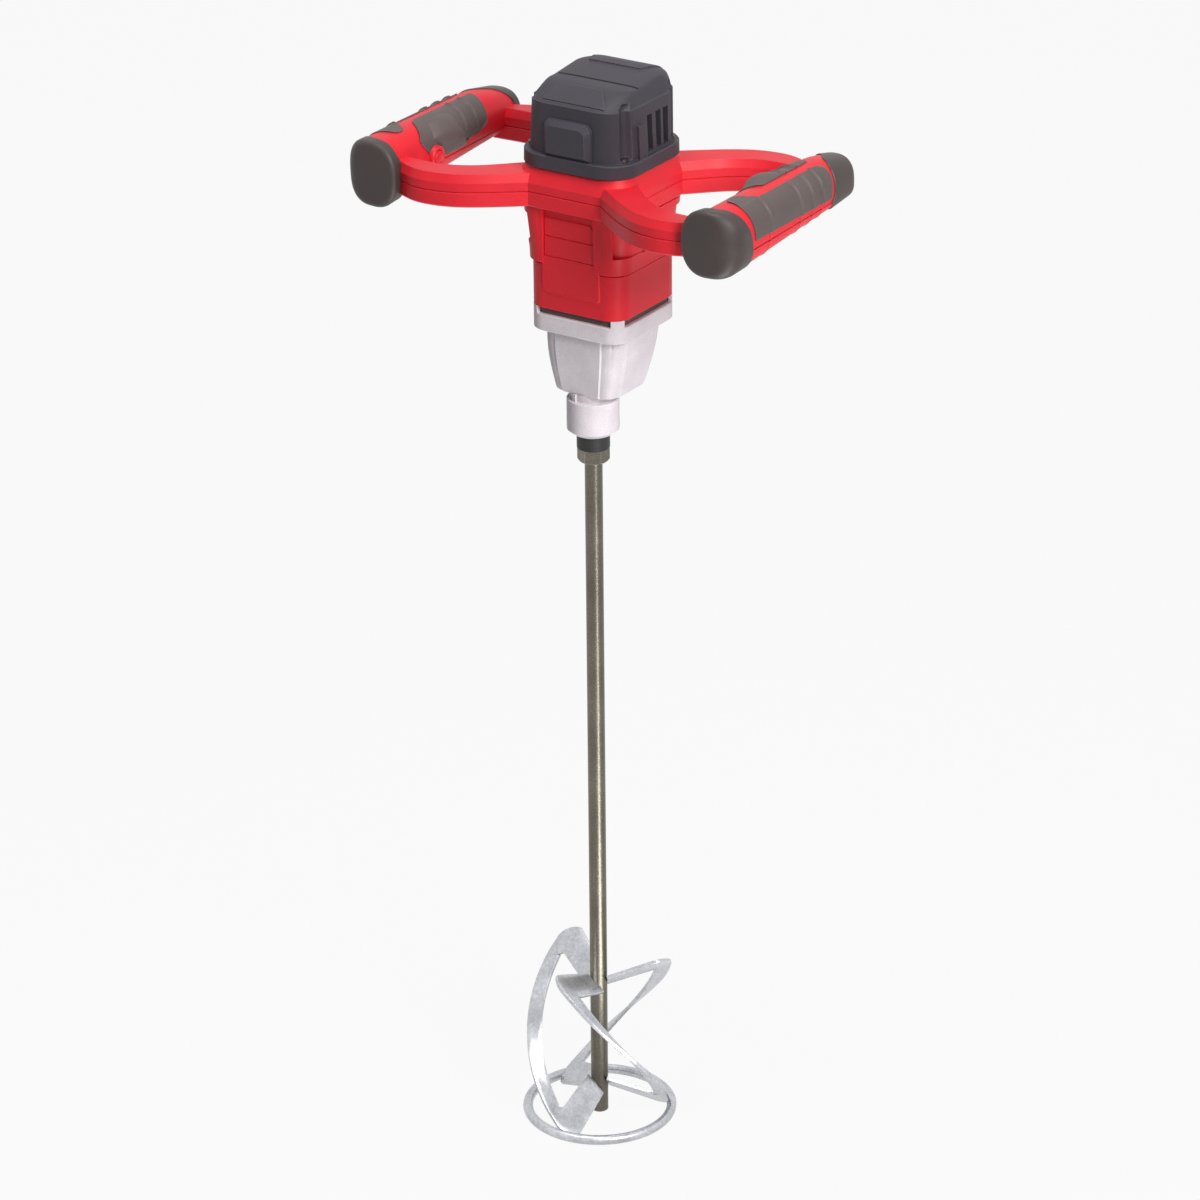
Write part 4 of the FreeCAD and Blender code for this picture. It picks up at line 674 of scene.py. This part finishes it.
dome_rise = 0.10 * np.clip((42.6 - dome_half) / 12, 0, 1)
dome_z = np.interp(dome_half, crown_half, crown_z)
cap_z = np.concatenate([wall_z, dome_z])
cap_half = np.concatenate([wall_half, dome_half])
flat_half = np.concatenate([np.full(len(wall_z), cap_flat), dome_flat])
cap_rows = np.stack([cap_z, cap_half, cap_half - flat_half], axis=1)
signs, ways = cap_loop
loop_y = motor_y + cap_flat * signs[:, 1]
on_side = np.abs(ways[:, 0]) > 0.999
row_z = cap_z[:, None]
in_vent = (np.abs(loop_y[:, None] - vent_y) < vent_half).any(axis=1) & on_side
vent_depth = 5.0
blind_rise = 2.6
channel_depth = 4.2
vents = in_vent * ((row_z > 228.4) & (row_z < 256.6)) * -vent_depth
blind = blind_rise * (on_side & (np.abs(loop_y) < 4.95)) * (row_z < 252.5)
lean = np.degrees(np.arctan2(np.abs(ways[:, 1]), np.abs(ways[:, 0])))
bow = np.abs(lean - 25.0) * 0.36 / 4.6
channel = np.where((bow < 1) & ~on_side, np.sqrt(np.clip(1 - bow ** 2, 0, 1)), 0.0)
lower_end = np.clip((row_z - 228.8) / 0.6, 0, 1)
upper_end = np.clip((271.0 - row_z) / 2.5, 0, 1)
channel = channel * -channel_depth * lower_end * upper_end
cap_body = stacked(cap_rows, cap_loop, vents + blind + channel)
cap_body[len(wall_z):, :, 0] *= dome_wide[:, None]
back_share = np.concatenate([1 + 0.09 * (wall_z - cap_foot) / 39.4, dome_back])[:, None]
behind = cap_body[..., 1] - motor_y
cap_body[..., 1] = motor_y + np.where(behind > 0, behind * back_share, behind)
cap_body[len(wall_z):, :, 2] += dome_rise[:, None] * rear_rise(cap_body[len(wall_z):, :, 1])
cap_flange = stacked([(215.9, 42.0, 18.0), (215.9, 49.0, 24.4), (216.5, 49.6, 25.0), (226.0, 49.4, 24.8),
                      (cap_foot, 48.7, 24.1), (226.9, 40.0, 18.0)], square_loop(24, (-0.9, 0.0, 0.9)))
bumper = plate(-20.5, 20.5, 226.9, 255.5, (0.6, 0.6, 7.0, 5.0), -26.0, -35.2, 3.6)


def crown_sheet(corners, lift, skirt, count):
    """Patch over the dome: a plan quadrilateral in even steps, raised by lift, with a sunk skirt.

    The dome's height at a point is found between the two rows whose outlines lie on either side.
    """
    u = np.linspace(0, 1, count)[:, None, None]
    v = np.linspace(0, 1, 9)[None, :, None]
    p = np.array(corners, float)
    plan = (p[0] * (1 - u) + p[1] * u) * (1 - v) + (p[3] * (1 - u) + p[2] * u) * v
    plan = np.concatenate([plan[:1], plan, plan[-1:]])
    plan = np.concatenate([plan[:, :1], plan, plan[:, -1:]], axis=1)
    over_x = np.clip(np.abs(plan[..., :1]) / dome_wide - dome_flat, 0, None)
    behind = plan[..., 1:] - motor_y
    over_y = np.clip(np.where(behind > 0, behind / dome_back, -behind) - dome_flat, 0, None)
    outside = np.hypot(over_x, over_y) - (dome_half - dome_flat)
    row = np.clip((outside < 0).sum(axis=-1), 1, len(dome_half) - 1)[..., None]
    low = np.take_along_axis(outside, row - 1, axis=-1)
    high = np.take_along_axis(outside, row, axis=-1)
    share = np.clip(low / np.where(low == high, 1.0, low - high), 0, 1)
    risen = dome_z + dome_rise * rear_rise(plan[..., 1:])
    below = np.take_along_axis(risen, row - 1, axis=-1)
    above = np.take_along_axis(risen, row, axis=-1)
    height = (below * (1 - share) + above * share)[..., 0]
    rise = np.full(height.shape, -skirt)
    rise[1:-1, 1:-1] = lift
    return np.dstack([plan, height + rise]), False, False


front_panel = crown_sheet([(-26, -25.2), (29, -25.2), (16.5, -8), (-18.5, -8)], 1.3, 1.5, 21)
back_panel = crown_sheet([(28, 58.5), (-32, 58.5), (-27, 40), (18.9, 40)], 0.9, 1.5, 21)
cap = skin("motor_cover", [(cap_flange, True, False), (cap_body, True, True), bumper,
                           front_panel, back_panel], crisp=24)
cap.data.materials.append(charcoal)
# The floors of the air slots get a near-black material: painted shade in the recesses.
painted_shade_black = finish("painted slot and seam shade", tone(18, 17, 18), tone(10, 10, 11), (0.7, 0.8), bump=0.05, gloss=0.2)
cap.data.materials.append(painted_shade_black)
centres = np.zeros(len(cap.data.polygons) * 3)
cap.data.polygons.foreach_get("center", centres)
centres = centres.reshape(-1, 3) * 1000
sunk = np.abs(centres[:, 0]) < cap_wall(centres[:, 2]) - 4.4
beside = (np.abs(centres[:, 1] - 25.3) < 15.4) & (np.abs(centres[:, 0]) > 36)
in_slot = sunk & beside & (np.abs(centres[:, 2] - 242.5) < 14.0)
cap.data.polygons.foreach_set("material_index", in_slot.astype(np.int32))
# The seam is a thin strip laid on the dome in the near-black material: painted shade of the gap between
# the panels.
seam_shade_strip = crown_sheet([(-34.5, 8.8), (36.8, 8.8), (36.8, 10.4), (-34.5, 10.4)], 0.15, 1.0, 61)
seam = skin("motor_cover_seam", [seam_shade_strip], crisp=30)
seam.data.materials.append(painted_shade_black)
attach(seam, "tool_body")
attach(cap, "tool_body")
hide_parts("motor_cap")


# Paddle rod and hexagon
# The rod is drawn round bar; the hexagon is milled from bar, turned off below and welded on top.
# Both are bright steel with a thin warm oil film.
bright_steel = finish("drawn steel", tone(120, 116, 106), tone(94, 90, 80), (0.3, 0.36), metal=1.0,
                      fine=600, broad=18, bump=0.004, edge=tone(214, 210, 202))
hex_half = 11.0
hex_foot = -28
hex_top = -17.5
hex_turn = np.radians(np.arange(0, 360, 3))
hex_radius = hex_half / np.cos((hex_turn + np.pi / 6) % (np.pi / 3) - np.pi / 6)
hex_z = np.concatenate([np.linspace(hex_foot, -26.4, 9), [-25, -20, -18.2, hex_top]])[:, None]
turned_off = np.minimum(11.15 + np.clip(hex_z - hex_foot, 0, 9) * 1.2,
                        12.4 + np.clip(hex_top - hex_z, 0, 9) * 2)
hex_r = np.minimum(hex_radius, turned_off)
hex_grid = np.dstack([hex_r * np.cos(hex_turn), hex_r * np.sin(hex_turn), hex_z + 0 * hex_turn])
hexagon = skin("paddle_hex_head", [(hex_grid, True, True)], crisp=25)
rod_grid = turned([(0.01, -605), (6.3, -605), (7.0, -604.3), (7.0, -28.8), (7.6, -28.3), (8.2, -27.9),
                   (0.01, -27.9)], steps=64)
rod = skin("paddle_shaft", [(rod_grid, True, True)])
for piece, node in ((hexagon, "paddle_hexagon"), (rod, "paddle_rod")):
    piece.data.materials.append(bright_steel)
    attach(piece, "spindle")
    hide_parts(node)


# Paddle ring and blades
# Three loops cut from plate, tilted on the rod and twisted a third of a turn, on a ring of round wire.
# They are welded to the rod and ring, and the whole basket is zinc plated.
zinc = finish("zinc plate", tone(214, 215, 220), tone(176, 177, 182), (0.26, 0.36), metal=0.75,
              fine=420, broad=60, bump=0.015, edge=tone(250, 250, 250))
wire_turn = np.linspace(0, 2 * np.pi, 20, endpoint=False)
hoop = np.linspace(0, 2 * np.pi, 120, endpoint=False)[:, None]
wire_r = 4
hoop_z = -601
hoop_r = 59 + wire_r * np.cos(wire_turn)
ring_grid = np.dstack([hoop_r * np.cos(hoop), hoop_r * np.sin(hoop),
                       hoop_z + wire_r * np.sin(wire_turn) + 0 * hoop])
ring = skin("paddle_hoop", [(np.concatenate([ring_grid, ring_grid[:1]]), True, False)], crisp=60)
ring.data.materials.append(zinc)
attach(ring, "spindle")
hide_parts("paddle_ring")

tilt = math.radians(50)
basket_top = -471
drop = 123 / math.cos(tilt)
root = 3.5
band_r = 53
band_half = 10
arm_fall = 16
arm_slope = arm_fall / (band_r - root) / math.cos(tilt)


def loop_edge(far, inner):
    """One edge of the flat loop: root, rounded corner at radius far, run, rounded corner, root.

    Gives radius, way down the plate and share of the run, which is below 0 on the upper arm and
    above 1 on the lower one; inner is 1 for the edge inside the loop and -1 for the outside.
    """
    radius = 3.0 if inner > 0 else 12.0
    bend = np.radians(np.linspace(90, 0, 9))
    corner_r = far - radius + radius * np.cos(bend)
    root_r = np.linspace(root, far - radius, 15)[1:-1]
    end = (band_r - far) * arm_slope + inner * band_half
    top = end + radius * (1 - np.sin(bend))
    start = arm_fall / math.cos(tilt) + inner * band_half
    top_root = np.interp(root_r, [root, far - radius], [start, end])
    low = drop - top
    low_root = drop - top_root
    run = np.linspace(0, 1, 30)[1:-1]
    run_along = band_half + (drop - 2 * band_half) * run
    run_r = np.full(28, float(far))
    reach = np.concatenate([root_r, corner_r, run_r, corner_r[::-1], root_r[::-1]])
    down = np.concatenate([top_root, top, run_along, low[::-1], low_root[::-1]])
    share = np.concatenate([np.full(22, -1.0), run, np.full(22, 2.0)])
    return reach, down, share


def blade(turn0):
    """Loop on the tilted plate: arms lie flat in their plane, the run turns evenly about the rod."""
    first = math.radians(34 + turn0)
    last = first + math.radians(115)
    lead = band_half * math.sin(tilt) / band_r
    lines = []
    for far, inner in ((47.0, 1), (59.0, -1)):
        reach, down, share = loop_edge(far, inner)
        fall = (band_r - reach) * arm_slope
        middle = np.where(share < 0, fall, np.where(share > 1, drop - fall, down))
        turn = np.where(share < 0, first, np.where(share > 1, last, 0))
        running = first + lead + (last - first - 2 * lead) * np.clip(share, 0, 1)
        turn = np.where((share >= 0) & (share <= 1), running, turn)
        aside = (down - middle) * math.sin(tilt)
        lines.append(np.stack([reach * np.cos(turn) - aside * np.sin(turn),
                               reach * np.sin(turn) + aside * np.cos(turn),
                               basket_top - down * math.cos(tilt)], axis=1))
    across = np.linspace(0, 1, 5)[None, :, None]
    return lines[0][:, None] * (1 - across) + lines[1][:, None] * across


for letter, turn0 in (("a", 0), ("b", 120), ("c", 240)):
    loop_plate = skin("paddle_loop_" + letter, [(blade(turn0), False, False)], crisp=40)
    thick = loop_plate.modifiers.new("plate", "SOLIDIFY")
    thick.thickness = 0.003
    thick.offset = 0.0
    soft = loop_plate.modifiers.new("rolled edges", "BEVEL")
    soft.width = 0.0005
    soft.segments = 2
    soft.limit_method = "ANGLE"
    soft.angle_limit = math.radians(50)
    loop_plate.data.materials.append(zinc)
    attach(loop_plate, "spindle")
    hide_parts("mixing_blade_" + letter)


# Screws, bearings, gears, motor and switch
# Bought-in or machined pieces that keep their solid shape; most are hidden inside the housings.
# Each gets the finish of what it is made of: plain steel screws, ground races, bronze, copper, carbon;
# the bearing plate's aluminium is darkened as painted shade in the gap under the housing.
screw_steel = finish("screw steel", tone(112, 110, 108), tone(84, 82, 80), (0.3, 0.42), metal=1.0,
                     bump=0.05)
bearing_steel = finish("ground steel", tone(196, 198, 202), tone(168, 170, 174), (0.18, 0.28), metal=1.0,
                       bump=0.03)
bush_bronze = finish("sintered bronze", tone(176, 132, 78), tone(142, 102, 58), (0.4, 0.55), metal=1.0,
                     bump=0.15)
sheet_steel = finish("core sheet", tone(132, 134, 138), tone(98, 100, 104), (0.4, 0.52), metal=1.0,
                     fine=2400)
copper = finish("enamelled copper", tone(186, 96, 48), tone(150, 72, 34), (0.28, 0.4), metal=1.0,
                fine=1600)
# The bearing plate shows through the gap between flange and housing; its aluminium is made dark grey as
# painted shade of that gap.
shade_darkened_aluminium = finish("aluminium darkened as shade", tone(112, 100, 101), tone(88, 78, 79), (0.6, 0.7), gloss=0.15)
carbon = finish("brush carbon", tone(44, 44, 46), tone(32, 32, 34), (0.6, 0.75), fine=1200)
kept = {
    screw_steel: ("gearbox_screws", "handle_frame_screws", "motor_cap_screws", "trigger_pin"),
    shade_darkened_aluminium: ("bearing_plate",),
    bearing_steel: ("spindle_bearing_inner_races", "spindle_bearing_outer_races",
                    "rotor_bearing_inner_races", "rotor_bearing_outer_races", "output_gear",
                    "output_gear_key", "layshaft", "layshaft_gear", "rotor_shaft", "trigger_spring",
                    "lock_button_spring", "brush_springs"),
    bush_bronze: ("layshaft_bushes", "brush_holders"),
    sheet_steel: ("rotor_core", "stator_core"),
    copper: ("field_coils", "rotor_windings", "commutator"),
    carbon: ("carbon_brushes",),
    charcoal: ("upper_bearing_bridge", "cooling_fan", "switch_body"),
    grip_rubber: ("spindle_seal",),
}
for material, names in kept.items():
    for name in names:
        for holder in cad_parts[name].material_slots:
            holder.material = material


# Camera
# At the height and angle of the photograph: 33 degrees right of the front, looking 24 degrees down.
# A soft key light from the right front, a soft light above and a low strip on the right.
# The floor and the surround are plain white to the eye and in mirrors, and give only a weak fill.
bearing = 0.5821018
away = 3.5850635
eye = np.array([away * math.sin(bearing), -away * math.cos(bearing), 1.4539852])
heading = bearing - 0.0011042
dip = 0.4200950
roll = -0.0093692
level = np.array([-math.sin(heading), math.cos(heading), 0])
right = np.array([math.cos(heading), math.sin(heading), 0])
upright = np.array([0, 0, 1.0])
look = level * math.cos(dip) - upright * math.sin(dip)
up = level * math.sin(dip) + upright * math.cos(dip)
side_way = right * math.cos(roll) + up * math.sin(roll)
up_way = -right * math.sin(roll) + up * math.cos(roll)
camera = bpy.data.objects.new("camera", bpy.data.cameras.new("camera"))
bpy.context.collection.objects.link(camera)
camera.data.lens = 150.0
camera.data.sensor_width = 36.0
camera.data.clip_end = 50.0
pose = np.eye(4)
pose[:3, :4] = np.stack([side_way, up_way, -look, eye], axis=1)
camera.matrix_world = Matrix(pose.tolist())
bpy.context.scene.camera = camera


def lamp(name, way, distance, size, power):
    """Square soft light at a distance along a direction from the drill, turned to face it."""
    light = bpy.data.lights.new(name, "AREA")
    light.energy = power
    light.size = size
    holder = bpy.data.objects.new(name, light)
    bpy.context.collection.objects.link(holder)
    way = np.array(way, float)
    way = way / np.linalg.norm(way)
    holder.location = (way * distance).tolist()
    holder.rotation_mode = "QUATERNION"
    from_way = holder.location.normalized()
    holder.rotation_quaternion = from_way.to_track_quat("Z", "Y")
    return holder


lamp("key light", (0.85, -0.42, 0.62), 3.0, 1.1, 70.0)
lamp("top light", (-0.1, -0.1, 1.0), 3.0, 1.3, 44.0)
strip = bpy.data.lights.new("low strip light", "AREA")
strip.shape = "RECTANGLE"
strip.size = 1.15
strip.size_y = 0.16
strip.energy = 6.0
strip_turn = math.radians(-26.7)
strip_way = np.array([math.cos(strip_turn), math.sin(strip_turn), 0.0])
strip_pose = np.eye(4)
strip_pose[:3, 0] = strip_way
strip_pose[:3, 1] = (strip_way[1], -strip_way[0], 0.0)
strip_pose[:3, 2] = (0.0, 0.0, -1.0)
strip_pose[:3, 3] = strip_way * 0.77 + (0.0, 0.0, -0.6)
strip_holder = bpy.data.objects.new("low strip light", strip)
bpy.context.collection.objects.link(strip_holder)
strip_holder.matrix_world = Matrix(strip_pose.tolist())
strip_holder.visible_camera = False


def shown_rays(tree):
    """Mask of the rays that see a plain white background: from the camera, mirrored or through glass."""
    seen = place(tree, "ShaderNodeLightPath", {}).outputs
    mirrored = place(tree, "ShaderNodeMath", {0: seen["Is Camera Ray"], 1: seen["Is Glossy Ray"]},
                     operation="MAXIMUM")
    shown = place(tree, "ShaderNodeMath", {0: mirrored.outputs["Value"], 1: seen["Is Transmission Ray"]},
                  operation="MAXIMUM")
    return shown.outputs["Value"]


reach = 12.0
floor_z = -0.605
floor_mesh = bpy.data.meshes.new("floor")
floor_mesh.from_pydata([(-reach, -reach, floor_z), (reach, -reach, floor_z), (reach, reach, floor_z),
                        (-reach, reach, floor_z)], [], [(0, 1, 2, 3)])
floor = bpy.data.objects.new("floor", floor_mesh)
bpy.context.collection.objects.link(floor)
pale = bpy.data.materials.new("pale floor")
pale.use_nodes = True
tree = pale.node_tree
matt = tree.nodes["Principled BSDF"]
matt.inputs["Base Color"].default_value = tone(170, 170, 170)
matt.inputs["Roughness"].default_value = 0.9
matt.inputs["Specular IOR Level"].default_value = 0.1
part = place(tree, "ShaderNodeMath", {0: shown_rays(tree), 1: 0.93}, operation="MULTIPLY")
glow = place(tree, "ShaderNodeEmission", {"Color": (1, 1, 1, 1), "Strength": 1.0})
blend = place(tree, "ShaderNodeMixShader", {0: part.outputs["Value"], 1: matt.outputs["BSDF"],
                                            2: glow.outputs["Emission"]})
tree.links.new(blend.outputs["Shader"], tree.nodes["Material Output"].inputs["Surface"])
floor_mesh.materials.append(pale)

world = bpy.data.worlds.new("white surround")
bpy.context.scene.world = world
world.use_nodes = True
tree = world.node_tree
strength = place(tree, "ShaderNodeMapRange", {"Value": shown_rays(tree), "To Min": 0.18, "To Max": 1.0})
sky = tree.nodes["Background"]
sky.inputs["Color"].default_value = (1, 1, 1, 1)
tree.links.new(strength.outputs["Result"], sky.inputs["Strength"])
bpy.context.scene.view_settings.view_transform = "Standard"

bpy.context.view_layer.update()
